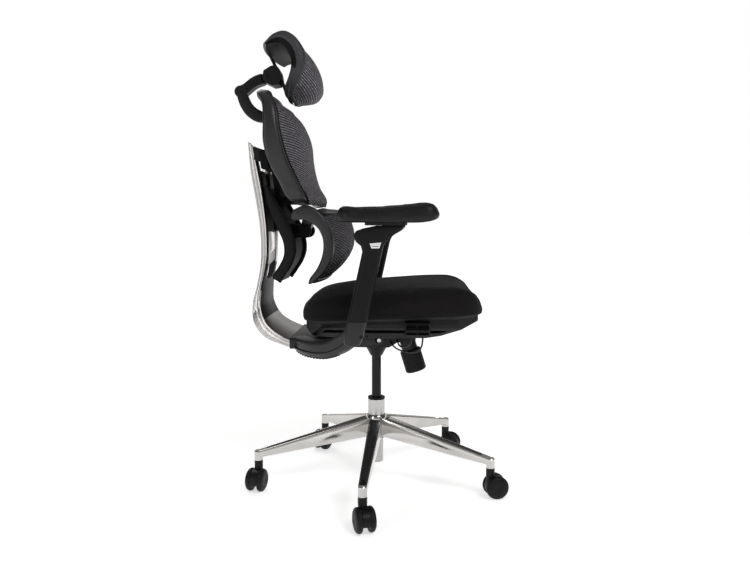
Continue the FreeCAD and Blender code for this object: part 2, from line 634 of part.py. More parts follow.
def build_bracket():
    plan = mirror_points([(BRACKET_REAR_HALF, BRACKET_REAR), (132, 160), (EAR_OUTER, 90),
                          (EAR_OUTER, RECLINE_Y - EAR_R), (EAR_INNER, RECLINE_Y - EAR_R), (EAR_INNER, 95)])
    plate = plan_solid(plan, BRACKET_BOTTOM - 10, BRACKET_TOP + 10)
    side = [(RECLINE_Y, RECLINE_Z - EAR_R), (60, BRACKET_BOTTOM), (BRACKET_REAR, BRACKET_BOTTOM + 4),
            (BRACKET_REAR, BRACKET_TOP), (160, BRACKET_TOP), (30, RECLINE_Z + 8), (RECLINE_Y, RECLINE_Z + EAR_R)]
    slab = across(side_wire(side), -BRACKET_REAR_HALF, BRACKET_REAR_HALF)
    centre = plate.common(slab)
    eye = bar_x(EAR_R, EAR_INNER, EAR_OUTER, RECLINE_Y, RECLINE_Z)
    wing = Part.makeLoft([
        wing_section(108, 205, 0, 52, 418, 452),
        wing_section(176, 172, -42, 46, 413, 454),
        wing_section(238, 112, -48, 42, 417, 459),
        wing_section(286, 62, -52, 40, 440, 492),
        wing_section(306, 40, -62, 40, 466, POST_FOOT_Z - SEAT_GAP)], True, True)
    boss = leaning(SLEEVE_WIDTH, SLEEVE_DEPTH, SLEEVE_CORNER, 468, POST_FOOT_Z - SEAT_GAP)
    column = leaning(COLUMN_WIDTH, COLUMN_DEPTH, 3, COLUMN_FOOT_Z, COLUMN_TOP_Z)
    pieces = []
    for piece in (eye, wing, boss):
        pieces.extend(both_sides(piece))
    bracket = centre.fuse(pieces)
    bracket = bracket.cut(both_sides(column)[0]).cut(both_sides(column)[1])
    bracket = bracket.cut(bar_x(RECLINE_PIN_R + RUNNING_FIT, -120, 120, RECLINE_Y, RECLINE_Z))
    bracket = bracket.common(box(-400, 400, -200, BRACKET_REAR, 300, 600))
    save("back_bracket", bracket.removeSplitter())
    return column


def arm_head():
    """Flared top of the sleeve under the arm pad."""
    rear = post_y(SLEEVE_TOP_Z) + SLEEVE_DEPTH / 2
    front = post_y(SLEEVE_TOP_Z) - SLEEVE_DEPTH / 2
    outline = [(rear, SLEEVE_TOP_Z - 6), (40, 727), (42, 740), (38, 750), (-14, HEAD_TOP_Z),
               (-82, HEAD_TOP_Z), (-83, 757), (-66, 748), (front - 8, 728), (front, SLEEVE_TOP_Z - 6)]
    return across(side_wire(outline), POST_X - SLEEVE_WIDTH / 2, POST_X + SLEEVE_WIDTH / 2)


def build_arms(column):
    outer = POST_X + SLEEVE_WIDTH / 2
    sleeve = leaning(SLEEVE_WIDTH, SLEEVE_DEPTH, SLEEVE_CORNER, POST_FOOT_Z, SLEEVE_TOP_Z).fuse(arm_head())
    cavity = leaning(COLUMN_WIDTH + 2 * SLIDE_FIT, COLUMN_DEPTH + 2 * SLIDE_FIT, 3 + SLIDE_FIT,
                     POST_FOOT_Z - 1, COLUMN_TOP_Z + 2)
    pivot_hole = Part.makeCylinder(PLATE_PIVOT_R + RUNNING_FIT, 16, Vector(POST_X, PLATE_PIVOT_Y, HEAD_TOP_Z - 14))

    def button_block(grow, inner):
        y = BUTTON_Y
        w = BUTTON_WIDTH / 2 + grow
        h = BUTTON_HEIGHT / 2 + grow
        outline = [(y - w, BUTTON_Z + h), (y + w, BUTTON_Z + h - 3), (y + w - 5, BUTTON_Z - h), (y - w + 5, BUTTON_Z - h)]
        return across(side_wire(outline), inner, outer + BUTTON_PROUD)

    pocket = button_block(SLIDE_FIT, outer - BUTTON_DEPTH - 3)
    button = button_block(0, outer - BUTTON_DEPTH)
    sleeve = sleeve.cut(cavity).cut(pivot_hole).cut(pocket).removeSplitter()

    plate_z = HEAD_TOP_Z + SEAT_GAP
    plate_top = PAD_BOTTOM - SEAT_GAP
    plate = rounded_face(62, 104, 18, Vector(POST_X - 6, PLATE_PIVOT_Y, plate_z))
    plate = plate.extrude(Vector(0, 0, plate_top - plate_z))
    pivot = Part.makeCylinder(PLATE_PIVOT_R, 12.5, Vector(POST_X, PLATE_PIVOT_Y, plate_z - 12.5))
    plate = plate.fuse(pivot).removeSplitter()

    pad_side = [(PAD_REAR, PAD_BOTTOM + 6), (PAD_REAR, 802), (80, 811), (66, 813), (27, 809), (-23, 808),
                (-73, 813), (-115, 820), (-148, 823), (-164, 818), (-173, 806), (PAD_FRONT, 792),
                (-168, 780), (-155, PAD_BOTTOM + 1), (-98, PAD_BOTTOM), (72, PAD_BOTTOM)]
    pad = across(side_wire(pad_side), PAD_X - PAD_HALF, PAD_X + PAD_HALF)
    outline = rounded_face(2 * PAD_HALF, PAD_REAR - PAD_FRONT, 40, Vector(PAD_X, (PAD_REAR + PAD_FRONT) / 2, 760))
    pad = pad.common(outline.extrude(Vector(0, 0, 80)))
    crown = [(PAD_X - PAD_HALF, 760), (PAD_X + PAD_HALF, 760), (PAD_X + PAD_HALF, 800), (PAD_X + PAD_HALF - 12, 815),
             (PAD_X + PAD_HALF - 26, 824), (PAD_X - PAD_HALF + 26, 824), (PAD_X - PAD_HALF + 12, 815),
             (PAD_X - PAD_HALF, 800)]
    pad = pad.common(front_solid(crown, PAD_FRONT - 5, PAD_REAR + 5)).removeSplitter()
    for side, place in (("left", lambda s: s), ("right", mirrored)):
        save(f"arm_column_{side}", place(column))
        save(f"arm_sleeve_{side}", place(sleeve))
        save(f"arm_button_{side}", place(button))
        save(f"arm_plate_{side}", place(plate))
        save(f"arm_pad_{side}", place(pad))


# ---------------------------------------------------------------- yoke and backrest
YOKE_REAR_EDGE = [(353, 996), (348, 914), (336, 830), (328, 763), (326, 695), (329, 644), (339, 592),
                  (350, 545), (346, 489), (318, 454), (262, 430), (BRACKET_REAR - 10, 420)]
YOKE_FRONT_EDGE = [(337, 980), (316, 867), (305, 744), (306, 674), (321, 584), (321, 530), (300, 487),
                   (262, 460), (BRACKET_REAR - 10, 446)]


def build_yoke():
    side = across(band_wire(YOKE_REAR_EDGE, YOKE_FRONT_EDGE), -150, 150)
    outer = [(140, 410), (138, 425), (115, 470), (96, 524), (85, 600), (82, 680), (86, 760), (95, 850),
             (108, 1000)]
    window = [(30, 596), (44, 606), (45, 640), (43, 690), (48, 760), (57, 850), (70, 1001)]
    yoke = side.common(front_solid(mirror_points(outer), 150, 400))
    yoke = yoke.cut(front_solid(mirror_points(window), 150, 400))
    yoke = yoke.common(box(-200, 200, BRACKET_REAR, 400, 400, 1010)).removeSplitter()
    save("back_yoke", yoke)
    return yoke


def build_panel(yoke):
    """Fixed slide housing between the yoke arms, and the two guide clamps above it."""
    height = (PANEL_TOP_Z - PANEL_FOOT_Z) / math.cos(math.radians(PANEL_LEAN_DEG))
    flange = slide_block(PANEL_HALF, 0, height, 0, PANEL_FLANGE)
    housing = slide_block(PANEL_BOX_HALF, 0, height, 0, 26)
    groove = slide_block(TONGUE_HALF + SLIDE_FIT, -5, height + 5, -1, TONGUE_DEPTH + SLIDE_FIT)
    panel = flange.fuse(housing).cut(groove).cut(yoke).removeSplitter()
    solids = sorted(panel.Solids, key=lambda s: -s.Volume)
    save("back_panel", solids[0])
    outline = [slide_point(0, -24), slide_point(400, -24), (420, 1100), (420, 748)]
    clamp = across(side_wire(outline), CLAMP_INNER, CLAMP_OUTER)
    limits = [(290, CLAMP_BOTTOM), (345, CLAMP_BOTTOM + 12), (345, CLAMP_TOP + 8), (290, CLAMP_TOP - 12)]
    clamp = clamp.common(across(side_wire(limits), CLAMP_INNER, CLAMP_OUTER))
    behind = box(0, 200, 336, 420, 900, 1010)
    clamp = clamp.cut(yoke).cut(behind)
    clamp = sorted(clamp.Solids, key=lambda s: -s.Volume)[0]
    save("yoke_clamps", *both_sides(clamp))


BAND_FRONT = [(292, 1120), (269, 1108), (254, 1076), (249, 1038), (240, 992), (227, 940), (206, 893),
              (183, 845), (171, 820)]
BAND_REAR = [(303, 1114), (297, 1088), (287, 1060), (287, 1020), (284, 968), (265, 912), (246, 878),
             (224, 838), (210, 814)]
RAIL_FRONT = [(296, 872), (266, 819), (241, 774), (224, 724), (222, 690), (233, 656), (254, 625), (266, 603)]
RAIL_REAR = [(308, 872), (304, 838), (289, 790), (268, 748), (254, 710), (254, 679), (268, 650), (288, 622)]


def build_backrest():
    side = across(band_wire(BAND_FRONT, BAND_REAR), -BACK_HALF, BACK_HALF)
    outline = mirror_points([(150, 1125), (185, 1117), (212, 1096), (226, 1066), (BACK_HALF, 1020),
                             (BACK_HALF, 960), (222, 880), (212, 830), (206, 810)])
    hole = mirror_points([(150, 1094), (172, 1086), (188, 1066), (199, 1030), (BAND_INNER, 1000),
                          (BAND_INNER, 950), (194, 880), (186, 830), (184, 800)])
    bands = side.common(front_solid(outline, 100, 400)).cut(front_solid(hole, 100, 400))
    bottom_plan = [(-192, 172), (-110, 157), (0, 150), (110, 157), (192, 172), (192, 202), (110, 184),
                   (0, 178), (-110, 184), (-192, 202)]
    bottom = plan_solid(bottom_plan, 824, 848)
    top = box(-155, 155, 262, 300, 1090, 1112)
    holder = box(-34, 34, 288, 326, 988, 1066).fuse(box(-26, 26, 284, 298, 1050, 1096))
    slot = box(-STEM_FOOT_HALF - SLIDE_FIT, STEM_FOOT_HALF + SLIDE_FIT, STEM_FOOT_FRONT - SLIDE_FIT,
               STEM_FOOT_REAR + SLIDE_FIT, 900, 1120)
    open_back = box(-STEM_FOOT_HALF - SLIDE_FIT, STEM_FOOT_HALF + SLIDE_FIT, STEM_FOOT_FRONT - SLIDE_FIT,
                    340, HOLDER_LOOP_TOP, 1120)
    frame = bands.fuse([bottom, top, holder]).cut(slot.fuse(open_back)).removeSplitter()
    save("back_frame", frame)

    edge = [(270, 1092), (256, 1064), (252, 1030), (246, 995), (235, 950), (219, 910), (203, 875), (186, 838)]
    edge = [(y + MESH_INSET, z) for y, z in edge]
    middle = [(263, 1092), (223, 1064), (205, 1030), (194, 995), (190, 950), (185, 910), (173, 875), (158, 850)]
    save("back_mesh", mesh_panel(edge, middle, 184))

    rail = across(band_wire(RAIL_FRONT, RAIL_REAR), RAIL_INNER, RAIL_OUTER)
    web_front = [(y + 8, z) for y, z in RAIL_FRONT]
    web = across(band_wire(web_front, RAIL_REAR), -RAIL_INNER, RAIL_INNER)
    upper = slide_block(62, 95, 215, -38, -25)
    crossbar = slide_block(205, 165, 212, -45, -25)
    tongue = slide_block(TONGUE_HALF, 58, 112, -14, TONGUE_DEPTH)
    lower_arm = box(-60, 60, 176, 290, 826, 846)
    lug = across(side_wire([(LUMBAR_PIN_Y - 14, 762), (LUMBAR_PIN_Y - 14, 734), (245, 726), (262, 772)]),
                 LUMBAR_KNUCKLE_HALF + 0.6, LUMBAR_KNUCKLE_HALF + 12)
    spine = web.fuse(both_sides(rail) + [upper, crossbar, tongue, lower_arm] + both_sides(lug))
    spine = spine.cut(bar_x(LUMBAR_PIN_R, -60, 60, LUMBAR_PIN_Y, LUMBAR_PIN_Z))
    spine = spine.cut(frame).removeSplitter()
    save("back_spine", sorted(spine.Solids, key=lambda s: -s.Volume)[0])
    save("lumbar_pin", bar_x(LUMBAR_PIN_R, -LUMBAR_KNUCKLE_HALF - 11, LUMBAR_KNUCKLE_HALF + 11,
                             LUMBAR_PIN_Y, LUMBAR_PIN_Z))


LUMBAR_OUTER = [(219, 796), (201, 811), (180, 818), (159, 813), (135, 795), (114, 761), (104, 713),
                (109, 678), (125, 646), (149, 619), (163, 608)]
LUMBAR_INNER_EDGE = [(212, 778), (196, 782), (180, 780), (164, 772), (149, 760), (138, 740), (133, 700),
                     (141, 668), (157, 638), (172, 619)]


def build_lumbar():
    band = across(band_wire(LUMBAR_OUTER, LUMBAR_INNER_EDGE), LUMBAR_INNER, LUMBAR_HALF)
    top_plan = [(-190, 128), (-100, 108), (0, 99), (100, 108), (190, 128), (190, 196), (100, 188), (0, 190),
                (-100, 188), (-190, 196)]
    top = plan_solid(top_plan, 790, 806)
    bottom_plan = [(-190, 152), (-100, 143), (0, 138), (100, 143), (190, 152), (190, 166), (100, 158),
                   (0, 154), (-100, 158), (-190, 166)]
    bottom = plan_solid(bottom_plan, 612, 626)
    knuckle = bar_x(LUMBAR_KNUCKLE_R, -LUMBAR_KNUCKLE_HALF, LUMBAR_KNUCKLE_HALF, LUMBAR_PIN_Y, LUMBAR_PIN_Z)
    link = across(side_wire([(176, 800), (198, 800), (216, 756), (194, 752)]), -24, 24)
    frame = bottom.fuse(both_sides(band) + [top, knuckle, link])
    frame = frame.cut(bar_x(LUMBAR_PIN_R + RUNNING_FIT, -60, 60, LUMBAR_PIN_Y, LUMBAR_PIN_Z))
    save("lumbar_frame", frame.removeSplitter())
    edge = [(132, 786), (118, 765), (109, 738), (107, 708), (113, 678), (128, 650), (146, 628)]
    middle = [(92, 786), (76, 765), (67, 738), (67, 708), (78, 678), (102, 650), (130, 629)]
    save("lumbar_mesh", mesh_panel(edge, middle, LUMBAR_INNER - 0.5))


# ---------------------------------------------------------------- headrest
def build_headrest():
    eye = bar_x(KNUCKLE_R - 1, -TONGUE_EYE_HALF, TONGUE_EYE_HALF, LOW_KNUCKLE_Y, LOW_KNUCKLE_Z)
    stem_rear = [(405, 1145), (399, 1120), (384, 1092), (358, 1070), (334, 1063), (STEM_FOOT_REAR, 1063)]
    stem_front = [(377, 1145), (369, 1127), (354, 1109), (334, 1096), (316, 1090), (STEM_FOOT_FRONT, 1088)]
    stem = across(band_wire(stem_rear, stem_front), -TONGUE_EYE_HALF, TONGUE_EYE_HALF)
    wide = across(band_wire(stem_rear, stem_front), -18, 18).common(box(-20, 20, 290, 420, 1000, 1122))
    foot = box(-STEM_FOOT_HALF, STEM_FOOT_HALF, STEM_FOOT_FRONT, STEM_FOOT_REAR, STEM_FOOT_BOTTOM, 1088)
    stem = stem.fuse([eye, wide, foot])
    pin_hole = bar_x(KNUCKLE_PIN_R, -40, 40, LOW_KNUCKLE_Y, LOW_KNUCKLE_Z)
    save("headrest_stem", stem.cut(pin_hole).removeSplitter())

    arm_top = [(397, 1166), (383, 1172), (366, 1185), (342, 1197), (318, 1201)]
    arm_low = [(380, 1140), (366, 1150), (352, 1161), (334, 1169), (314, 1174)]
    arm = across(band_wire(arm_top, arm_low), -FORK_HALF + 1, FORK_HALF - 1)
    cheek = bar_x(KNUCKLE_R, TONGUE_EYE_HALF + 0.5, FORK_HALF, LOW_KNUCKLE_Y, LOW_KNUCKLE_Z)
    clear = bar_x(KNUCKLE_R + 1.5, -TONGUE_EYE_HALF - 0.5, TONGUE_EYE_HALF + 0.5, LOW_KNUCKLE_Y, LOW_KNUCKLE_Z)
    head_eye = bar_x(KNUCKLE_R - 1, -TONGUE_EYE_HALF, TONGUE_EYE_HALF, HIGH_KNUCKLE_Y, HIGH_KNUCKLE_Z)
    near_fork = [bar_x(KNUCKLE_R + 7, a, b, HIGH_KNUCKLE_Y, HIGH_KNUCKLE_Z)
                 for a, b in ((TONGUE_EYE_HALF, 40), (-40, -TONGUE_EYE_HALF))]
    arm = arm.cut(clear).fuse(both_sides(cheek)).cut(near_fork[0]).cut(near_fork[1]).fuse(head_eye)
    for y, z in ((LOW_KNUCKLE_Y, LOW_KNUCKLE_Z), (HIGH_KNUCKLE_Y, HIGH_KNUCKLE_Z)):
        arm = arm.cut(bar_x(KNUCKLE_PIN_R + RUNNING_FIT, -40, 40, y, z))
    save("headrest_arm", arm.removeSplitter())
    save("headrest_pins", bar_x(KNUCKLE_PIN_R, -FORK_HALF, FORK_HALF, LOW_KNUCKLE_Y, LOW_KNUCKLE_Z))

    outline = [(323, 1207), (303, 1219), (287, 1223), (276, 1205), (272, 1184), (279, 1167), (298, 1164), (318, 1174),
               (326, 1190)]
    block = across(side_wire(outline), -26, 26)
    gap = bar_x(KNUCKLE_R + 0.5, -TONGUE_EYE_HALF - 0.5, TONGUE_EYE_HALF + 0.5, HIGH_KNUCKLE_Y, HIGH_KNUCKLE_Z)
    mouth = box(-TONGUE_EYE_HALF - 0.5, TONGUE_EYE_HALF + 0.5, HIGH_KNUCKLE_Y, 340, 1150, 1240)
    block = block.cut(gap).cut(mouth)
    block = block.cut(bar_x(KNUCKLE_PIN_R, -60, 60, HIGH_KNUCKLE_Y, HIGH_KNUCKLE_Z))
    high_pin = bar_x(KNUCKLE_PIN_R, -22, 22, HIGH_KNUCKLE_Y, HIGH_KNUCKLE_Z)
    strap = across(side_wire([(318, 1264), (306, 1266), (242, 1112), (254, 1108)]), -19, 19)
    block = block.cut(strap)
    save("headrest_block", block.removeSplitter(), high_pin)

    outer = [(298, 1257), (284, 1276), (264, 1288), (243, 1292), (222, 1284), (205, 1266), (194, 1245), (186, 1218),
             (188, 1194), (206, 1160), (228, 1130), (240, 1112), (236, 1102)]
    inner = [(288, 1240), (276, 1246), (262, 1250), (250, 1250), (240, 1243), (232, 1232), (226, 1218), (224, 1202),
             (227, 1186), (236, 1162), (246, 1140), (252, 1124), (254, 1108)]
    side = across(band_wire(outer, inner), -HEAD_HALF, HEAD_HALF)
    face = mirror_points([(90, 1293), (120, 1286), (140, 1266), (HEAD_HALF, 1230), (HEAD_HALF, 1190), (136, 1140),
                          (118, 1112), (100, 1100)])
    hole = mirror_points([(96, 1246), (112, 1240), (122, 1225), (HEAD_BAND_INNER, 1200), (112, 1145), (98, 1122)])
    frame = side.common(front_solid(face, 100, 400)).cut(front_solid(hole, 100, 246))
    frame = frame.cut(front_solid(mirror_points([(124, 1236), (124, 1124)]), 240, 290))
    frame = frame.fuse(strap).removeSplitter()
    save("headrest_frame", sorted(frame.Solids, key=lambda s: -s.Volume)[0])
    edge = [(203, 1240), (194, 1222), (191, 1204), (198, 1182), (210, 1164), (224, 1145), (236, 1130)]
    middle = [(196, 1244), (177, 1226), (165, 1203), (158, 1172), (159, 1149), (174, 1128), (214, 1122)]
    save("headrest_mesh", mesh_panel(edge, middle, 111))


os.makedirs("parts", exist_ok=True)
build_base()
build_casters()
build_gas_lift()
build_mechanism()
seat_pan = build_seat()
build_controls(seat_pan)
arm_column = build_bracket()
build_arms(arm_column)
yoke_solid = build_yoke()
build_panel(yoke_solid)
build_backrest()
build_lumbar()
build_headrest()
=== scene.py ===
"""Looks of the swivel office chair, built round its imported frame. Lengths in the tables are millimetres."""
import math

import bmesh
import bpy
import numpy as np
from mathutils import Matrix, Vector
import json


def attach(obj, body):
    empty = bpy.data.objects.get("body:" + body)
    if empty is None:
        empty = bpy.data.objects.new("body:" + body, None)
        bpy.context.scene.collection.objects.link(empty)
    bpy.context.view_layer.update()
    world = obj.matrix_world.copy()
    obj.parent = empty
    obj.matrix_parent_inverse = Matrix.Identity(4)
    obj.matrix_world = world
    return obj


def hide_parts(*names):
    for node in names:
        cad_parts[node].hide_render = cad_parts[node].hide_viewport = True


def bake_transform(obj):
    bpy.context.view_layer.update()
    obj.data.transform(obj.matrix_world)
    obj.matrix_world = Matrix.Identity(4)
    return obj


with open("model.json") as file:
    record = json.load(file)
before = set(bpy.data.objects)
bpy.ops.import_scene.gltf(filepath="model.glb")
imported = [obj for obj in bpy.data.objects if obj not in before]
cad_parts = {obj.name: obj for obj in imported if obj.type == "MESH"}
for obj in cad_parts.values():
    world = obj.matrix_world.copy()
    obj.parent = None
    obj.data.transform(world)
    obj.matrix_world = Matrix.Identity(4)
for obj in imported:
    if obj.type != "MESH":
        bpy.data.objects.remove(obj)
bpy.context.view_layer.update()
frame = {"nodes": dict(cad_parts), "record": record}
MM = 0.001
SIDES = {"left": 1, "right": -1}


# ---------------------------------------------------------------- camera, floor and light
CAMERA_AT = (-2.04545, -0.09646, 0.77152)
CAMERA_TURN = math.radians(2.7)
CAMERA_DIP = math.radians(4.77)


def look_along(forward):
    """Rotation that points a camera or lamp along a direction, upright."""
    return Vector(forward).to_track_quat("-Z", "Y").to_euler()


def placed(name, data):
    """New object holding some data, linked into the scene."""
    obj = bpy.data.objects.new(name, data)
    bpy.context.scene.collection.objects.link(obj)
    return obj


def place_camera():
    data = bpy.data.cameras.new("camera")
    data.lens = 33.42
    data.sensor_width = 36.0
    data.shift_x = -0.0019
    data.clip_end = 200.0
    camera = placed("camera", data)
    camera.location = CAMERA_AT
    camera.rotation_euler = look_along((math.cos(CAMERA_TURN) * math.cos(CAMERA_DIP),
                                        math.sin(CAMERA_TURN) * math.cos(CAMERA_DIP), -math.sin(CAMERA_DIP)))
    bpy.context.scene.camera = camera


def soft_box(name, place, aim, size, power):
    data = bpy.data.lights.new(name, "AREA")
    data.shape = "RECTANGLE"
    data.size, data.size_y = size
    data.energy = power
    lamp = placed(name, data)
    lamp.location = place
    lamp.rotation_euler = look_along(Vector(aim) - Vector(place))


def light_studio():
    """Pale surroundings for the eye, a softer graded room for reflections, and three large soft boxes."""
    world = bpy.data.worlds.new("studio")
    bpy.context.scene.world = world
    world.use_nodes = True
    tree = world.node_tree
    coords = tree.nodes.new("ShaderNodeTexCoord")
    split = tree.nodes.new("ShaderNodeSeparateXYZ")
    tree.links.new(coords.outputs["Generated"], split.inputs[0])
    ramp = tree.nodes.new("ShaderNodeValToRGB")
    stops = ramp.color_ramp.elements
    stops[0].position, stops[0].color = 0.0, (0.7, 0.7, 0.7, 1)
    stops[1].position, stops[1].color = 1.0, (0.75, 0.75, 0.75, 1)
    for place, level in ((0.49, 0.70), (0.53, 0.90), (0.61, 0.66), (0.68, 0.52), (0.76, 0.20), (0.86, 0.14),
            (0.95, 0.5)):
        stops.new(place).color = (level, level * 0.985, level * 0.97, 1)
    height = tree.nodes.new("ShaderNodeMath")
    height.operation = "MULTIPLY_ADD"
    tree.links.new(split.outputs["Z"], height.inputs[0])
    height.inputs[1].default_value = 0.5
    height.inputs[2].default_value = 0.5
    tree.links.new(height.outputs[0], ramp.inputs[0])
    across = tree.nodes.new("ShaderNodeMath")
    across.operation = "ABSOLUTE"
    tree.links.new(split.outputs["Y"], across.inputs[0])
    flag = tree.nodes.new("ShaderNodeMapRange")
    flag.interpolation_type = "SMOOTHSTEP"
    tree.links.new(across.outputs[0], flag.inputs["Value"])
    for socket, level in (("From Min", 0.80), ("From Max", 0.94), ("To Min", 1.0), ("To Max", 0.14)):
        flag.inputs[socket].default_value = level
    shaded = tree.nodes.new("ShaderNodeVectorMath")
    shaded.operation = "SCALE"
    tree.links.new(ramp.outputs[0], shaded.inputs[0])
    tree.links.new(flag.outputs["Result"], shaded.inputs["Scale"])
    room = tree.nodes["Background"]
    tree.links.new(shaded.outputs[0], room.inputs["Color"])
    room.inputs["Strength"].default_value = 0.62
    pale = tree.nodes.new("ShaderNodeBackground")
    pale.inputs["Color"].default_value = (1, 1, 1, 1)
    chosen = tree.nodes.new("ShaderNodeMixShader")
    path = tree.nodes.new("ShaderNodeLightPath")
    tree.links.new(path.outputs["Is Camera Ray"], chosen.inputs[0])
    tree.links.new(room.outputs[0], chosen.inputs[1])
    tree.links.new(pale.outputs[0], chosen.inputs[2])
    tree.links.new(chosen.outputs[0], tree.nodes["World Output"].inputs["Surface"])
    soft_box("key", (-2.4, -1.8, 3.2), (0, 0, 0.7), (1.6, 1.2), 55)
    soft_box("fill", (-2.8, 2.2, 1.5), (0, 0.1, 0.7), (0.7, 2.2), 16)
    soft_box("rim", (1.8, 1.4, 2.8), (0, 0, 0.8), (1.4, 1.4), 24)


place_camera()
light_studio()


# ---------------------------------------------------------------- materials
class Value:
    """A shader socket; arithmetic on it adds Math nodes."""

    def __init__(self, finish, socket):
        self.finish = finish
        self.socket = socket

    def math(self, operation, *terms):
        return self.finish.add("ShaderNodeMath", {"operation": operation}, dict(enumerate(terms)))

    def __add__(self, other):
        return self.math("ADD", self, other)

    __radd__ = __add__

    def __sub__(self, other):
        return self.math("SUBTRACT", self, other)

    def __rsub__(self, other):
        return self.math("SUBTRACT", other, self)

    def __mul__(self, other):
        return self.math("MULTIPLY", self, other)

    __rmul__ = __mul__

    def cosine(self):
        return self.math("COSINE", self)

    def step(self, low, high):
        """0 below low, 1 above high, smooth between."""
        settings = {"interpolation_type": "SMOOTHSTEP"}
        return self.finish.add("ShaderNodeMapRange", settings,
                {"Value": self, "From Min": low, "From Max": high})


class Finish:
    """A material with a Principled shader and one way to add nodes."""

    def __init__(self, name):
        self.material = bpy.data.materials.new(name)
        self.material.use_nodes = True
        self.tree = self.material.node_tree
        self.shader = self.tree.nodes["Principled BSDF"]

    def add(self, kind, settings=None, inputs=None, output=0):
        node = self.tree.nodes.new(kind)
        for key, value in (settings or {}).items():
            setattr(node, key, value)
        for key, value in (inputs or {}).items():
            self.join(node.inputs[key], value)
        return Value(self, node.outputs[output])

    def join(self, socket, value):
        if isinstance(value, Value):
            self.tree.links.new(value.socket, socket)
        else:
            socket.default_value = value

    def surface(self, **values):
        for key, value in values.items():
            self.join(self.shader.inputs[key.replace("_", " ")], value)
        return self.material

    def place(self):
        return self.add("ShaderNodeTexCoord", output="Object")

    def noise(self, scale, detail=2.0, vector=None, roughness=0.5):
        return self.add("ShaderNodeTexNoise", {},
                        {"Vector": vector or self.place(), "Scale": scale, "Detail": detail,
                         "Roughness": roughness})

    def mix(self, factor, low, high):
        node = self.tree.nodes.new("ShaderNodeMix")
        node.data_type = "RGBA"
        self.join(node.inputs["Factor"], factor)
        self.join(node.inputs[6], low)
        self.join(node.inputs[7], high)
        return Value(self, node.outputs[2])

    def bump(self, height, depth, strength=1.0):
        return self.add("ShaderNodeBump", {}, {"Height": height, "Distance": depth, "Strength": strength})

    def stretched(self, vector, scale):
        return self.add("ShaderNodeMapping", {}, {"Vector": vector, "Scale": scale})


def grey(level, violet=0.0):
    """Near-neutral tone, leaning to violet when asked."""
    return (level * (1 + violet), level, level * (1 + 2 * violet), 1)


def moulded(name, tone, rough, grain=0.00012, gloss_change=0.08, shine=0.17):
    """Moulded plastic: fine spark-etched grain and slightly uneven gloss."""
    finish = Finish(name)
    fine = finish.noise(1400.0, 1.0)
    broad = finish.noise(9.0, 3.0)
    darker = tuple(c * 0.82 for c in tone[:3]) + (1,)
    lighter = tuple(c * 1.18 for c in tone[:3]) + (1,)
    scuff = finish.noise(60.0, 4.0).step(0.55, 0.8)
    return finish.surface(
        Base_Color=finish.mix(broad, darker, lighter),
        Roughness=broad * gloss_change + scuff * 0.05 + (rough - gloss_change / 2),
        Specular_IOR_Level=shine,
        Normal=finish.bump(fine, grain))


def polished(name, tone, rough):
    """Buffed bright metal: faint long polishing streaks and soft clouding."""
    finish = Finish(name)
    streak = finish.noise(40.0, 3.0, finish.stretched(finish.place(), (14.0, 14.0, 1.0)))
    cloud = finish.noise(6.0, 3.0)
    dull = tuple(c * 0.80 for c in tone[:3]) + (1,)
    return finish.surface(
        Base_Color=finish.mix(cloud.step(0.3, 0.75), tone, dull),
        Metallic=1.0,
        Roughness=streak * 0.04 + cloud * 0.04 + (rough - 0.04),
        Normal=finish.bump(streak * 0.6 + cloud * 0.4, 0.00006))


def painted(name, tone, rough):
    finish = Finish(name)
    peel = finish.noise(260.0, 2.0)
    cloud = finish.noise(14.0, 2.0)
    return finish.surface(
        Base_Color=finish.mix(cloud, tone, tuple(c * 1.3 for c in tone[:3]) + (1,)),
        Roughness=peel * 0.1 + (rough - 0.05),
        Coat_Weight=0.05,
        Specular_IOR_Level=0.2,
        Normal=finish.bump(peel, 0.0001))


YARN_PITCH = 0.0016


def woven(name, tone):
    """Close-woven upholstery: crossed yarns, tiny nap and slow colour change."""
    finish = Finish(name)
    split = finish.add("ShaderNodeSeparateXYZ", {}, {0: finish.place()})
    x, y, z = (Value(finish, split.socket.node.outputs[i]) for i in range(3))
    pitch = 2 * math.pi / YARN_PITCH
    warp = ((x + z * 0.7) * pitch).cosine()
    weft = ((y + z * 0.7) * pitch).cosine()
    yarn = warp * weft * 0.5 + 0.5
    nap = finish.noise(900.0, 3.0)
    cloud = finish.noise(7.0, 3.0)
    shade = yarn * 0.35 + nap * 0.35 + cloud * 0.3
    dark = tuple(c * 0.55 for c in tone[:3]) + (1,)
    light = tuple(c * 1.5 for c in tone[:3]) + (1,)
    return finish.surface(
        Base_Color=finish.mix(shade, dark, light),
        Roughness=nap * 0.1 + 0.80,
        Sheen_Weight=0.05,
        Sheen_Roughness=0.45,
        Specular_IOR_Level=0.16,
        Normal=finish.bump(yarn * 0.6 + nap * 0.4, 0.0003))


ROW_PITCH = 0.0078
ROW_SLOPE = 0.22
STITCH_PITCH = 0.0046
STITCH_SLOPE = 0.25


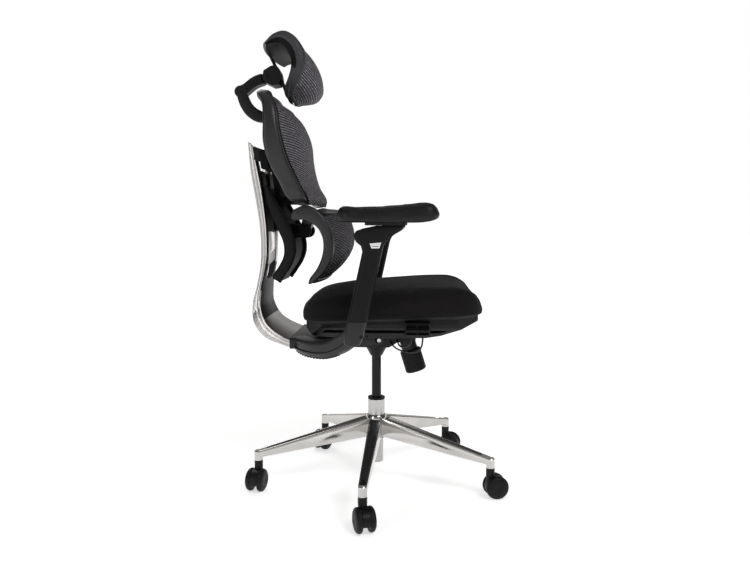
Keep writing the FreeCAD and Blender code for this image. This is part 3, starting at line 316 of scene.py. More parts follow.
def open_mesh(name, tone, light):
    """Elastic mesh: slanting rows of yarns with small staggered holes, painted shade darkening the troughs
    round the holes and painted glints flecked on the ridge tops; reads UV in metres.
    """
    finish = Finish(name)
    place = finish.add("ShaderNodeTexCoord", output="UV")
    split = finish.add("ShaderNodeSeparateXYZ", {}, {0: place})
    u, v = (Value(finish, split.socket.node.outputs[i]) for i in range(2))
    sway = finish.noise(26.0, 2.0, place) * 0.0016
    row = ((v + u * ROW_SLOPE + sway) * (2 * math.pi / ROW_PITCH)).cosine()
    stitch = ((u - v * STITCH_SLOPE + sway) * (2 * math.pi / STITCH_PITCH)).cosine()
    hole = (row * 0.62 + stitch * 0.38).step(0.84, 0.96)
    ridge = row * -0.5 + 0.5
    yarn = finish.noise(520.0, 2.0, place)
    # painted glints: bright specks, put in the light colour on the ridge tops only
    painted_glint = finish.noise(230.0, 2.0, finish.stretched(place, (1.0, 1.6, 1.0))).step(0.50, 0.64)
    knot = stitch * 0.5 + 0.5
    # painted shade: the troughs round the holes go nearly black; knot and yarn add the yarn's own pattern
    shade = ridge.step(0.25, 0.85) * (knot * 0.45 + 0.4) + yarn * 0.15
    base = finish.mix(shade, tuple(c * 0.07 for c in tone[:3]) + (1,), tone)
    return finish.surface(
        Base_Color=finish.mix(painted_glint * ridge.step(0.5, 0.9) * 0.55, base, light),
        Roughness=yarn * 0.2 + 0.5,
        Specular_IOR_Level=0.35,
        Alpha=1 - hole,
        Normal=finish.bump(ridge * 0.8 + stitch * 0.2, 0.0012))


def soft_touch(name, tone):
    """Skinned foam: leathery pores and a soft sheen."""
    finish = Finish(name)
    pores = finish.add("ShaderNodeTexVoronoi", {}, {"Vector": finish.place(), "Scale": 700.0})
    cloud = finish.noise(12.0, 3.0)
    return finish.surface(
        Base_Color=finish.mix(cloud, tuple(c * 0.7 for c in tone[:3]) + (1,),
                tuple(c * 1.25 for c in tone[:3]) + (1,)),
        Roughness=cloud * 0.12 + 0.40,
        Specular_IOR_Level=0.27,
        Normal=finish.bump(pores * 0.5 + finish.noise(400.0) * 0.5, 0.00018))


BRIGHT = polished("bright_alloy", (0.60, 0.585, 0.57, 1), 0.13)
YOKE_METAL = polished("yoke_alloy", (0.52, 0.505, 0.495, 1), 0.28)
STEEL = polished("bright_steel", (0.50, 0.49, 0.48, 1), 0.20)
CHROME = polished("chrome_trim", (0.80, 0.80, 0.80, 1), 0.12)
INLAY = moulded("gloss_inlay", grey(0.030), 0.24, 0.00006, shine=0.7)
SHELL = moulded("satin_shell", grey(0.0075, 0.02), 0.44)
RAIL = moulded("rail_shell", grey(0.009, 0.03), 0.52, shine=0.10)
SPINE = moulded("spine_shell", grey(0.0040, 0.03), 0.55, shine=0.08)
SLEEVE_SHELL = moulded("sleeve_shell", grey(0.005, 0.03), 0.42, shine=0.14)
BRACKET = moulded("bracket_shell", grey(0.012, 0.02), 0.36, shine=0.32)
CHARCOAL = moulded("charcoal_shell", grey(0.018, 0.04), 0.33, shine=0.34)
HEAD_SHELL = moulded("head_shell", grey(0.032, 0.05), 0.46, shine=0.20)
# painted reflection: dark slate that stands in for the yoke's chrome reflecting the dark seat
YOKE_PAINTED_REFLECTION = moulded("yoke_inner_painted_reflection", grey(0.014, 0.10), 0.45, shine=0.12)
RIM = moulded("dark_rim", grey(0.006, 0.02), 0.36, 0.00006)
CASTER = moulded("caster_shell", grey(0.007, 0.02), 0.38)
TREAD = moulded("caster_tread", grey(0.008, 0.02), 0.46, 0.0002)
BLACK_STEEL = painted("black_steel", grey(0.005, 0.02), 0.36)
FABRIC = woven("seat_weave", (0.0046, 0.0037, 0.0041, 1))
MESH = open_mesh("back_weave", (0.135, 0.120, 0.145, 1), (0.62, 0.58, 0.65, 1))
LUMBAR_MESH = open_mesh("lumbar_weave", (0.060, 0.053, 0.066, 1), (0.40, 0.37, 0.42, 1))
SOFT = soft_touch("pad_skin", grey(0.0042, 0.02))
JACKET = moulded("cable_jacket", grey(0.010), 0.36, 0.00005)


# ---------------------------------------------------------------- shapes
def spline(points, count):
    """Points evenly spread along a smooth curve through the given ones."""
    p = np.array(points, float)
    s = np.r_[0, np.cumsum(np.linalg.norm(np.diff(p, axis=0), axis=1))]
    slope = np.gradient(p, s, axis=0)
    t = np.linspace(0, s[-1], count)
    i = np.clip(np.searchsorted(s, t, side="right") - 1, 0, len(s) - 2)
    h = (s[i + 1] - s[i])[:, None]
    u = (t - s[i])[:, None] / h
    return ((2 * u**3 - 3 * u**2 + 1) * p[i] + (u**3 - 2 * u**2 + u) * h * slope[i]
            + (3 * u**2 - 2 * u**3) * p[i + 1] + (u**3 - u**2) * h * slope[i + 1])


def along(table, place):
    """Value at a place, read between the (place, value) pairs of a table."""
    return float(np.interp(place, [p[0] for p in table], [p[1] for p in table]))


def new_object(name, verts, faces):
    """Mesh object from millimetre points, doubles merged and faces turned outwards."""
    mesh = bpy.data.meshes.new(name)
    mesh.from_pydata([tuple(c * MM for c in v) for v in verts], [], faces)
    work = bmesh.new()
    work.from_mesh(mesh)
    bmesh.ops.remove_doubles(work, verts=work.verts, dist=1e-6)
    bmesh.ops.recalc_face_normals(work, faces=work.faces)
    work.to_mesh(mesh)
    work.free()
    return placed(name, mesh)


def loft(name, rows, loop=False):
    """Skin over rows of points, each row a closed section; ends capped unless the rows loop."""
    rows = np.array(rows, float)
    n, m = rows.shape[:2]
    verts = rows.reshape(-1, 3)
    faces = []
    for i in range(n if loop else n - 1):
        j = (i + 1) % n
        for k in range(m):
            q = (k + 1) % m
            faces.append((i * m + k, i * m + q, j * m + q, j * m + k))
    if not loop:
        faces.append(tuple(range(m)))
        faces.append(tuple((n - 1) * m + k for k in reversed(range(m))))
    return new_object(name, verts, faces)


def rounded_section(width, depth, corner, steps=4):
    """Closed rounded rectangle as (across, deep) pairs."""
    corner = min(corner, width / 2 * 0.98, depth / 2 * 0.98)
    out = []
    for cx, cy, start in ((1, 1, 0), (-1, 1, 90), (-1, -1, 180), (1, -1, 270)):
        for k in range(steps + 1):
            a = math.radians(start + 90 * k / steps)
            out.append((cx * (width / 2 - corner) + corner * math.cos(a), cy * (depth / 2 - corner) + corner
                        * math.sin(a)))
    return out


def dress(obj, material, body, *nodes, slot=None, bevel=0.0, smooth=30.0, subdivide=0):
    """Material, rounded edges, shading, and the body and CAD nodes that a piece stands for."""
    obj.data.materials.clear()
    obj.data.materials.append(material)
    if bevel:
        edge = obj.modifiers.new("edge", "BEVEL")
        edge.width = bevel * MM
        edge.segments = 3
        edge.limit_method = "ANGLE"
        edge.angle_limit = math.radians(32)
        edge.use_clamp_overlap = True
        edge.harden_normals = False
    if subdivide:
        skin = obj.modifiers.new("skin", "SUBSURF")
        skin.levels = skin.render_levels = subdivide
    obj.data.shade_smooth()
    if not subdivide:
        shade_by_angle(obj, smooth)
    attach(obj, body)
    if nodes:
        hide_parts(*nodes)
    return obj


def shade_by_angle(obj, degrees):
    obj.data.set_sharp_from_angle(angle=math.radians(degrees))


def slot_of(node):
    for part in frame["record"]["subparts"]:
        if part["node"] == node:
            return part["material_slot"]
    raise KeyError(node)


def body_holding(node):
    for body, nodes in frame["record"]["behaviour"]["bodies"].items():
        if node in nodes:
            return body
    raise KeyError(node)


def refined(node, material, bevel=0.6, smooth=34.0):
    """Copy of a CAD node, welded, flat faces merged and edges rounded, that stands for the node."""
    mesh = frame["nodes"][node].data.copy()
    work = bmesh.new()
    work.from_mesh(mesh)
    bmesh.ops.remove_doubles(work, verts=work.verts, dist=2e-6)
    bmesh.ops.dissolve_limit(work, angle_limit=math.radians(0.8), verts=work.verts, edges=work.edges,
                             delimit={"NORMAL"})
    work.to_mesh(mesh)
    work.free()
    return dress(placed("fine_" + node, mesh), material, body_holding(node), node, slot=slot_of(node),
                 bevel=bevel, smooth=smooth)


def side_band(name, outer, inner, x_in, x_out, stations=28, corner=6.0, taper=0.35):
    """Solid between two side-view curves, from x_in to x_out, with rounded edges and eased ends."""
    a = spline(outer, stations)
    b = spline(inner, stations)
    rows = []
    for k in range(stations):
        middle = (a[k] + b[k]) / 2
        reach = (a[k] - b[k]) / 2
        end = min(k, stations - 1 - k) / 2.0
        ease = 1.0 if end >= 1 else taper + (1 - taper) * math.sin(end * math.pi / 2)
        width = abs(x_out - x_in)
        size = 2 * np.linalg.norm(reach)
        row = []
        for across, deep in rounded_section(width * (0.75 + 0.25 * ease), size * ease, corner):
            share = deep / (size / 2)
            y, z = middle + reach * share
            row.append(((x_in + x_out) / 2 + across, y, z))
        rows.append(row)
    return loft(name, rows)


def joined(name, parts):
    """One object from several."""
    work = bmesh.new()
    for part in parts:
        part.data.transform(part.matrix_world)
        work.from_mesh(part.data)
        bpy.data.objects.remove(part)
    mesh = bpy.data.meshes.new(name)
    work.to_mesh(mesh)
    work.free()
    return placed(name, mesh)


def flipped(obj, name):
    """Mirror copy to the other side of the chair."""
    mesh = obj.data.copy()
    mesh.transform(Matrix.Scale(-1, 4, Vector((1, 0, 0))))
    work = bmesh.new()
    work.from_mesh(mesh)
    bmesh.ops.recalc_face_normals(work, faces=work.faces)
    work.to_mesh(mesh)
    work.free()
    return placed(name, mesh)


def on_side(obj, side, name):
    """The left-hand piece itself, or its mirror copy in its place, under its final name."""
    if side == "right":
        pattern = obj
        obj = flipped(pattern, name)
        bpy.data.objects.remove(pattern)
    obj.name = name
    return obj


def box_rows(sections):
    """Rounded slab: (y, x from, x to, low z, high z, corner) stations along y."""
    return [[((x0 + x1) / 2 + a, y, (low + high) / 2 + b) for a,
             b in rounded_section(x1 - x0, high - low, corner, 4)]
            for y, x0, x1, low, high, corner in sections]


def round_bar(name, radius, x0, x1, y, z, count=40):
    rows = []
    for x, r in ((x0, radius - 1), (x0 + 1, radius), (x1 - 1, radius), (x1, radius - 1)):
        rows.append([(x, y + r * math.cos(2 * math.pi * k / count), z + r * math.sin(2 * math.pi * k / count))
                     for k in range(count)])
    return loft(name, rows)


# ---------------------------------------------------------------- rigid pieces kept close to their CAD shape
PLAIN = [
    ("caster_stems", STEEL, 0.3), ("gas_cylinder", STEEL, 0.6),
    ("cylinder_bush", SHELL, 0.6), ("gas_piston", BLACK_STEEL, 0.4), ("mechanism_housing", BLACK_STEEL, 2.0),
    ("recline_pin", STEEL, 1.0), ("tension_knob", SHELL, 0.5), ("seat_pan", SHELL, 3.0), ("seat_carrier",
            BLACK_STEEL, 0.8),
    ("control_box", SHELL, 1.2), ("height_lever", SHELL, 0.8), ("tilt_lever", SHELL, 0.8), ("back_panel",
            SHELL, 1.2), ("yoke_clamps", SHELL, 1.5), ("back_spine", SPINE, 3.0),
    ("lumbar_pin", SHELL, 0.5), ("headrest_pins", SHELL, 0.4), ("headrest_arm", SHELL, 2.5),
    ("headrest_block", SHELL, 2.0)]
for side in SIDES:
    PLAIN += [(f"arm_column_{side}", SHELL, 0.6), (f"arm_plate_{side}", SHELL, 1.0)]
for number in range(1, 6):
    PLAIN.append((f"caster_{number}_housing", CASTER, 1.0))
    for side in SIDES:
        PLAIN.append((f"caster_{number}_wheel_{side}", TREAD, 1.2))
for node, material, bevel in PLAIN:
    refined(node, material, bevel)


# ---------------------------------------------------------------- five-star base
LEG_TURNS = [math.radians(176.95 + 72 * k) for k in range(5)]
LEG_ENDS = (12, 350)


def leg_value(r, root, tip):
    return root + (tip - root) * (r - LEG_ENDS[0]) / (LEG_ENDS[1] - LEG_ENDS[0])


def leg_row(r, depth):
    """Section of a leg: chamfered edges, bright rims and a sunk floor between them."""
    half, top = leg_value(r, 19, 12), leg_value(r, 199, 114)
    low = leg_value(r, 140, 94)
    floor_half = leg_value(r, 14, 7.5)
    side = [(half - 5, low), (half - 1, low + 2), (half, low + 5), (half, top - 3), (half - 0.9, top - 0.8),
            (half - 2.2, top), (floor_half + 1.0, top), (floor_half + 0.3, top - 0.4), (floor_half,
                    top - depth), (floor_half - 0.6, top - depth)]
    return [(r, a, z) for a, z in side] + [(r, -a, z) for a, z in reversed(side)]


def turned(obj, angle, name):
    mesh = obj.data.copy()
    mesh.transform(Matrix.Rotation(angle, 4, "Z"))
    return placed(name, mesh)


leg = loft("leg", [leg_row(r, d) for r, d in ((24, 4.4), (60, 4.4), (140, 4.4), (230, 4.4), (316, 4.4),
        (324, 4.2), (327, 0.2),
                                              (345, 0.2), (352, 0.2))])
tip = loft("tip", [[(350 + r * math.cos(2 * math.pi * k / 40), r * math.sin(2 * math.pi * k / 40), z)
                    for k in range(40)]
                   for r, z in ((10.5, 85), (12, 86.5), (12, 112), (10.5, 114))])
strip = loft("strip", [[(r, a, leg_value(r, 199, 114) + z) for a, z in
                        [(-leg_value(r, 13.6, 7.3), -4.8), (leg_value(r, 13.6, 7.3), -4.8),
                         (leg_value(r, 13.6, 7.3), -4.0),
                         (0, -3.2), (-leg_value(r, 13.6, 7.3), -4.0)]] for r in (26, 120, 220, 322)])
hub = loft("hub", [[(r * math.cos(2 * math.pi * k / 64), r * math.sin(2 * math.pi * k / 64), z)
                    for k in range(64)]
                   for r, z in ((29, 133), (31, 135), (31, 190), (30, 198), (27.5, 202), (25.2, 203),
                                (24.4, 200), (24.4, 133))],
           loop=True)
star_parts = [hub]
strip_parts = []
for number, angle in enumerate(LEG_TURNS):
    star_parts += [turned(leg, angle, f"leg_{number}"), turned(tip, angle, f"tip_{number}")]
    strip_parts.append(turned(strip, angle, f"strip_{number}"))
for pattern in (leg, tip, strip):
    bpy.data.objects.remove(pattern)
dress(joined("star_shell", star_parts), BRIGHT, "base", "base_star", slot=slot_of("base_star"), bevel=0.5,
      smooth=35)
dress(joined("leg_strips", strip_parts), INLAY, "base", "leg_inlays", slot=slot_of("leg_inlays"), smooth=35)


# ---------------------------------------------------------------- chrome yoke
YOKE_REAR = [(353, 996), (348, 914), (336, 830), (328, 763), (326, 695), (329, 644), (339, 592), (350, 545),
             (346, 489), (318, 454), (262, 430), (232, 421)]
YOKE_FRONT = [(337, 980), (316, 867), (305, 744), (306, 674), (321, 584), (321, 530), (300, 487),
              (262, 460), (232, 447)]
YOKE_OUTER = [(421, 140), (425, 138), (470, 115), (524, 96), (600, 85), (680, 82), (760, 86), (850, 95),
              (1000, 108)]
YOKE_INNER = [(421, 0), (590, 0), (597, 24), (606, 42), (640, 45), (690, 43), (760, 48), (850, 57),
              (1000, 70)]
# shares across the outer face of an arm (-1 front, 1 rear) and how far each lies below the full width
YOKE_GROOVES = [(-0.94, 5.0), (-0.82, 1.4), (-0.62, 0.0), (-0.40, 0.6), (-0.34, 2.2), (-0.22, 2.2),
                (-0.16, 0.6), (0.10, 0.0),
                (0.34, 0.5), (0.40, 1.8), (0.50, 1.8), (0.56, 0.4), (0.76, 0.2), (0.90, 1.8), (0.97, 5.0)]


def yoke_arm(stations=120):
    """One arm from the wide foot at the bracket to its top, with lengthwise flutes on the outer face."""
    rear = spline(YOKE_REAR[::-1], stations)
    front = spline(YOKE_FRONT[::-1], stations)
    rows = []
    for k in range(stations):
        middle, reach = (rear[k] + front[k]) / 2, (rear[k] - front[k]) / 2
        outer = along(YOKE_OUTER, middle[1])
        inner = along(YOKE_INNER, middle[1])
        row = []
        for share, drop in YOKE_GROOVES:
            y, z = middle + reach * share
            row.append((outer - drop, y, z))
        for share, lift in ((0.97, 4.0), (0.90, 1.2), (0.76, 0.0), (-0.76, 0.0), (-0.90, 1.2), (-0.97, 4.0)):
            y, z = middle + reach * share
            row.append((inner + lift * min(1.0, inner / 20), y, z))
        rows.append(row)
    return loft("yoke_arm", rows)


arm = yoke_arm()
yoke_shell = joined("yoke_shell", [flipped(arm, "yoke_arm_right"), arm])
dress(yoke_shell, YOKE_METAL, "back", "back_yoke", slot=slot_of("back_yoke"), smooth=38)
YOKE_PAINTED_REFLECTION_HEIGHTS = (500, 655)
# painted reflection: between these heights the faces turned towards the seat and towards the other arm get a
# darker, slate-tinted material, painting in the chrome's dark reflection of the seat
yoke_shell.data.materials.append(YOKE_PAINTED_REFLECTION)
for face in yoke_shell.data.polygons:
    x, y, z = face.center
    inward = -face.normal.x * math.copysign(1, x)
    if YOKE_PAINTED_REFLECTION_HEIGHTS[0] * MM < z < YOKE_PAINTED_REFLECTION_HEIGHTS[1] * MM and (face.normal.y < -0.35 or inward > 0.5):
        face.material_index = 1


# ---------------------------------------------------------------- back frame and mesh
# half of the ring from bottom middle to top middle: x, z, front y, rear y, width
BACK_RING = [(0, 827, 158, 176, 13), (60, 827, 160, 179, 13), (120, 827, 165, 190, 14),
             (168, 828, 174, 210, 20),
             (192, 842, 181, 228, 28), (201, 885, 202, 250, 32), (208, 920, 218, 268, 32), (214, 955, 231,
                     281, 32),
             (217, 992, 240, 287, 31), (217, 1030, 247, 286, 30), (212, 1060, 251, 287, 30), (200, 1088,
                     258, 293, 30),
             (180, 1110, 268, 309, 28), (140, 1119, 280, 314, 24), (80, 1120, 284, 308, 22), (34, 1120, 282,
                     296, 20),
             (0, 1120, 281, 295, 20)]
BACK_MESH_EDGE = [(285, 1108), (262, 1094), (250, 1066), (246, 1036), (239, 995), (226, 950), (207, 905),
                  (190, 868), (174, 838), (172, 822)]
BACK_MESH_MIDDLE = [(292, 1107), (252, 1092), (223, 1067), (205, 1035), (194, 1003), (190, 955), (185, 918),
                    (174, 879), (152, 832), (157, 818)]
BACK_MESH_HALF = [(0, 176), (0.12, 194), (0.3, 203), (0.5, 203), (0.7, 197), (0.9, 186), (1, 176)]


def ring_rows(half, corner, stations=110, inset=0.0, size=None, front=0.0):
    """Sections round a closed ring from its right half, mirrored; optional small rim section at its front."""
    left = [(-x,) + tuple(rest) for x, *rest in half[1:-1]][::-1]
    loop = spline(list(half) + left + [half[0]], stations + 1)[:-1]
    rows = []
    for k in range(stations):
        before, here, after = loop[k - 1], loop[k], loop[(k + 1) % stations]
        run = np.array([after[0] - before[0], after[1] - before[1]])
        run /= np.linalg.norm(run)
        inward = np.array([-run[1], run[0]])
        if np.dot(inward, np.array([here[0], here[1] - 970])) > 0:
            inward = -inward
        x, z, y_front, y_rear, width = here
        depth = y_rear - y_front
        row = []
        if size:
            for a, d in rounded_section(size[0], size[1], min(size) / 2):
                row.append((x + inward[0] * (a + width / 2 + inset), y_front + front + d, z + inward[1]
                            * (a + width / 2 + inset)))
        else:
            for a, d in rounded_section(width, depth, corner, 5):
                lean = 1 - 0.28 * (0.5 - d / depth)
                row.append((x + inward[0] * a * lean, (y_front + y_rear) / 2 + d, z + inward[1] * a * lean))
        rows.append(row)
    return rows


def stretched_panel(name, edge, middle, half, columns=56, rows=64, wall=1.4, power=2.3):
    """Thin closed shell between an edge curve and a bulging middle curve; UV runs in metres."""
    e = spline(edge, rows)
    m = spline(middle, rows)
    widths = np.interp(np.linspace(0, 1, rows), [p[0] for p in half], [p[1] for p in half])
    grid = np.zeros((rows, columns, 3))
    for i in range(rows):
        for k in range(columns):
            u = -1 + 2 * k / (columns - 1)
            share = 1 - abs(u) ** power
            y, z = e[i] + (m[i] - e[i]) * share
            grid[i, k] = (u * widths[i], y, z)
    du = np.gradient(grid, axis=1)
    dv = np.gradient(grid, axis=0)
    normal = np.cross(du, dv)
    normal /= np.linalg.norm(normal, axis=2, keepdims=True)
    front = grid + normal * wall / 2
    back = grid - normal * wall / 2
    verts = np.concatenate([front.reshape(-1, 3), back.reshape(-1, 3)])
    n = rows * columns
    faces = []
    for i in range(rows - 1):
        for k in range(columns - 1):
            a, b = i * columns + k, i * columns + k + 1
            c, d = a + columns + 1, a + columns
            faces.append((a, b, c, d))
            faces.append((n + a, n + d, n + c, n + b))
    rim = ([(0, k) for k in range(columns)] + [(i, columns - 1) for i in range(1, rows)]
           + [(rows - 1, k) for k in range(columns - 2, -1, -1)] + [(i, 0) for i in range(rows - 2, 0, -1)])
    for (i, k), (j, q) in zip(rim, rim[1:] + rim[:1]):
        a, b = i * columns + k, j * columns + q
        faces.append((a, n + a, n + b, b))
    mesh = bpy.data.meshes.new(name)
    mesh.from_pydata([tuple(c * MM for c in v) for v in verts], [], faces)
    across = np.cumsum(np.r_[0, np.linalg.norm(np.diff(grid[rows // 2], axis=0), axis=1)])
    up = np.cumsum(np.r_[0, np.linalg.norm(np.diff(grid[:, columns // 2], axis=0), axis=1)])
    layer = mesh.uv_layers.new(name="cloth")
    for loop in mesh.loops:
        i, k = divmod(loop.vertex_index % n, columns)
        layer.data[loop.index].uv = (across[k] * MM, -up[i] * MM)
    work = bmesh.new()
    work.from_mesh(mesh)
    bmesh.ops.recalc_face_normals(work, faces=work.faces)
    work.to_mesh(mesh)
    work.free()
    obj = placed(name, mesh)
    flat = np.linalg.norm(np.cross(np.diff(grid, axis=1)[:-1], np.diff(grid, axis=0)[:, :-1]),
            axis=2).sum() * MM * MM
    size = (across[-1] * MM, up[-1] * MM)
    print(name, "flat", [round(s, 4) for s in size], "area", round(flat, 5))
    return obj, size, flat


def tension(size, area):
    round(min(area, size[0] * size[1] * 0.999), 4)


back_ring = loft("back_ring", ring_rows(BACK_RING, 11.0), loop=True)
dress(back_ring, CHARCOAL, "backrest", "back_frame", slot="charcoal_frame", subdivide=1)
back_rim = loft("back_rim", ring_rows(BACK_RING, 0, inset=-3.0, size=(9.0, 12.0), front=3.0), loop=True)
dress(back_rim, RIM, "backrest", slot="charcoal_frame", subdivide=1)
RAIL_FRONT = [(296, 876), (287, 856), (266, 818), (241, 773), (223, 724), (221, 690), (232, 655),
              (252, 624), (264, 604)]
RAIL_REAR = [(309, 876), (306, 856), (293, 800), (270, 750), (256, 712), (256, 680), (270, 650), (285, 628),
             (291, 618)]
near_rail = side_band("near_rail", RAIL_FRONT, RAIL_REAR, -86.5, -113.5, 40, 9.0, taper=0.75)
rails = joined("rail_skins", [flipped(near_rail, "far_rail"), near_rail])
dress(rails, RAIL, "backrest", slot="charcoal_frame", smooth=40)
back_cloth, size, area = stretched_panel("back_cloth", BACK_MESH_EDGE, BACK_MESH_MIDDLE, BACK_MESH_HALF)
dress(back_cloth, MESH, "backrest", "back_mesh", slot="mesh_cloth")
tension(size, area)


# ---------------------------------------------------------------- lumbar support
LUMBAR_FRONT = [(222, 788), (216, 803), (201, 812), (180, 819), (159, 813), (135, 795), (114, 761),
                (104, 713), (109, 678), (125, 646), (149, 619), (168, 604)]
LUMBAR_REAR = [(206, 774), (199, 779), (192, 780), (182, 779), (168, 773), (148, 758), (136, 735), (133, 703),
               (140, 672), (154, 644), (168, 626), (176, 614)]
LUMBAR_MESH_EDGE = [(146, 800), (130, 784), (117, 762), (110, 738), (108, 708), (114, 678), (129, 650),
                    (150, 624)]
LUMBAR_MESH_MIDDLE = [(100, 800), (82, 786), (72, 764), (67, 738), (68, 708), (80, 678), (103, 647),
        (136, 617)]
near_horn = side_band("near_horn", LUMBAR_FRONT, LUMBAR_REAR, -175, -204, 40, 9.0)
far_horn = flipped(near_horn, "far_horn")
top_rows = []
for x in np.linspace(-186, 186, 33):
    bow = 1 - abs(x / 186) ** 2.2
    middle = (138 - 26 * bow, 802)
    top_rows.append([(x, middle[0] + a, middle[1] + b) for a, b in rounded_section(22, 14, 6)])
bottom_rows = []
for x in np.linspace(-186, 186, 33):
    bow = 1 - abs(x / 186) ** 2.2
    bottom_rows.append([(x, 160 - 16 * bow + a, 616 + b) for a, b in rounded_section(12, 14, 5)])
link_rows = []
for y, z, half, thick in ((136, 803, 60, 12), (160, 806, 44, 14), (180, 800, 34, 18), (193, 786, 30, 26),
                          (203, 770, 29, 34), (207, 752, 29, 34), (207, 744, 28, 24)):
    link_rows.append([(a, y + b * 0.7, z + b * 0.7) for a, b in rounded_section(2 * half, thick, 5)])
lumbar_shell = joined("lumbar_shell", [near_horn, far_horn, loft("lumbar_top", top_rows),
        loft("lumbar_foot", bottom_rows),
                                       loft("lumbar_link", link_rows)])
dress(lumbar_shell, CHARCOAL, "lumbar", "lumbar_frame", slot="charcoal_frame", smooth=40)
lumbar_cloth, size, area = stretched_panel("lumbar_cloth", LUMBAR_MESH_EDGE, LUMBAR_MESH_MIDDLE,
        [(0, 178), (1, 178)], rows=48)
dress(lumbar_cloth, LUMBAR_MESH, "lumbar", "lumbar_mesh", slot="mesh_cloth")
tension(size, area)
LUMBAR_PIN = (207, 748)
lug_caps = joined("lug_caps", [round_bar("lug_cap", 20.5, x0, x1, *LUMBAR_PIN) for x0,
        x1 in ((30.8, 43.4), (-43.4, -30.8))])
dress(lug_caps, SPINE, body_holding("back_spine"), slot=slot_of("back_spine"), smooth=42)


# ---------------------------------------------------------------- headrest
HEAD_OUTER = [(231, 1120), (228, 1127), (223, 1134), (205, 1160), (189, 1190), (185, 1216), (193, 1243),
              (211, 1272), (243, 1289), (271, 1281), (297, 1256)]
HEAD_INNER = [(250, 1122), (252, 1131), (247, 1144), (234, 1168), (226, 1190), (224, 1206), (228, 1224),
              (240, 1243), (256, 1256), (272, 1257), (290, 1250)]
HEAD_MESH_EDGE = [(214, 1262), (196, 1238), (189, 1215), (193, 1190), (209, 1162), (226, 1138), (236, 1121)]
HEAD_MESH_MIDDLE = [(203, 1256), (180, 1233), (166, 1206), (158, 1174), (158, 1148), (172, 1126), (224, 1112)]
HEAD_MESH_HALF = [(0, 112), (0.15, 127), (0.45, 131), (0.6, 128), (0.75, 113), (0.88, 86), (1, 56)]


# half width, sections across it, points round each section, and the height above which its inside gets
# painted shade
HEAD_HALF = 144
HEAD_STATIONS = 71
HEAD_POINTS = 72
VISOR_SHADE_LOW = 1190


def narrowing(z):
    """Share of the full width that the headrest keeps at a height."""
    return float(np.interp(z, [1098, 1112, 1130, 1150, 1175, 1200], [0.30, 0.42, 0.66, 0.87, 0.97, 1.0]))


def narrowed(rows):
    return [[(x * narrowing(z), y, z) for x, y, z in row] for row in rows]


def head_rows():
    """Sections across the headrest: full hook at the sides, only the visor between them."""
    rows = []
    count = HEAD_POINTS // 2
    for x in HEAD_HALF * np.sin(np.linspace(-math.pi / 2, math.pi / 2, HEAD_STATIONS)):
        edge = abs(x)
        side = min(1.0, max(0.0, (edge - 100) / 16))
        start = 0.60 * (1 - side ** 2 * (3 - 2 * side))
        o = spline(HEAD_OUTER, 121)
        i = spline(HEAD_INNER, 121)
        first = int(start * 120)
        pick = np.round(np.linspace(first, 120, count)).astype(int)
        thin = math.sqrt(max(0.03, 1 - (max(0.0, edge - 131) / (HEAD_HALF - 131)) ** 2))
        mid = (o[pick] + i[pick]) / 2
        half = (o[pick] - i[pick]) / 2 * thin
        back = 20 * (1 - (edge / HEAD_HALF) ** 2)
        lift = np.linspace(0, 1, count) ** 2 * back
        shift = np.stack([lift, np.zeros(count)], axis=1)
        out = [(x, y, z) for y, z in mid + half + shift]
        inner = [(x, y, z) for y, z in (mid - half + shift)[::-1]]
        rows.append(out + inner)
    return rows


head_parts = [loft("hook", narrowed(head_rows()))]
foot_rows = []
for x in np.linspace(-66, 66, 25):
    bow = 1 - abs(x / 66) ** 2
    foot_rows.append([(x, 240 - 12 * bow + a, 1128 - 11 * bow + b) for a, b in rounded_section(17, 14, 6)])
head_parts.append(loft("head_foot", foot_rows))
strap_rows = []
for (y, z), half in zip(spline([(304, 1247), (298, 1234), (287, 1210), (272, 1175), (258, 1140),
        (247, 1117)], 20),
                        np.interp(np.linspace(0, 1, 20), [0, 0.12, 0.35, 1], [24, 20, 18, 18])):
    strap_rows.append([(a, y + b, z + b * 0.35) for a, b in rounded_section(2 * half, 9, 4)])
head_strap = loft("head_strap", strap_rows)
dress(head_strap, SHELL, "headrest", slot="charcoal_frame", smooth=45)
head_shell = joined("head_shell", head_parts)
dress(head_shell, HEAD_SHELL, "headrest", "headrest_frame", slot="charcoal_frame", smooth=45)
# painted shade: above the visor height the hook's inside takes the much darker spine material, standing in
# for the shade under the visor
head_shell.data.materials.append(SPINE)
for face in head_shell.data.polygons:
    on_hook = max(face.vertices) < HEAD_STATIONS * HEAD_POINTS
    on_inside = min(v % HEAD_POINTS for v in face.vertices) >= HEAD_POINTS // 2
    if on_hook and on_inside and face.center.z > VISOR_SHADE_LOW * MM:
        face.material_index = 1
head_cloth, size, area = stretched_panel("head_cloth", HEAD_MESH_EDGE, HEAD_MESH_MIDDLE,
                                         HEAD_MESH_HALF, rows=44, power=2.6)
dress(head_cloth, MESH, "headrest", "headrest_mesh", slot="mesh_cloth")
tension(size, area)

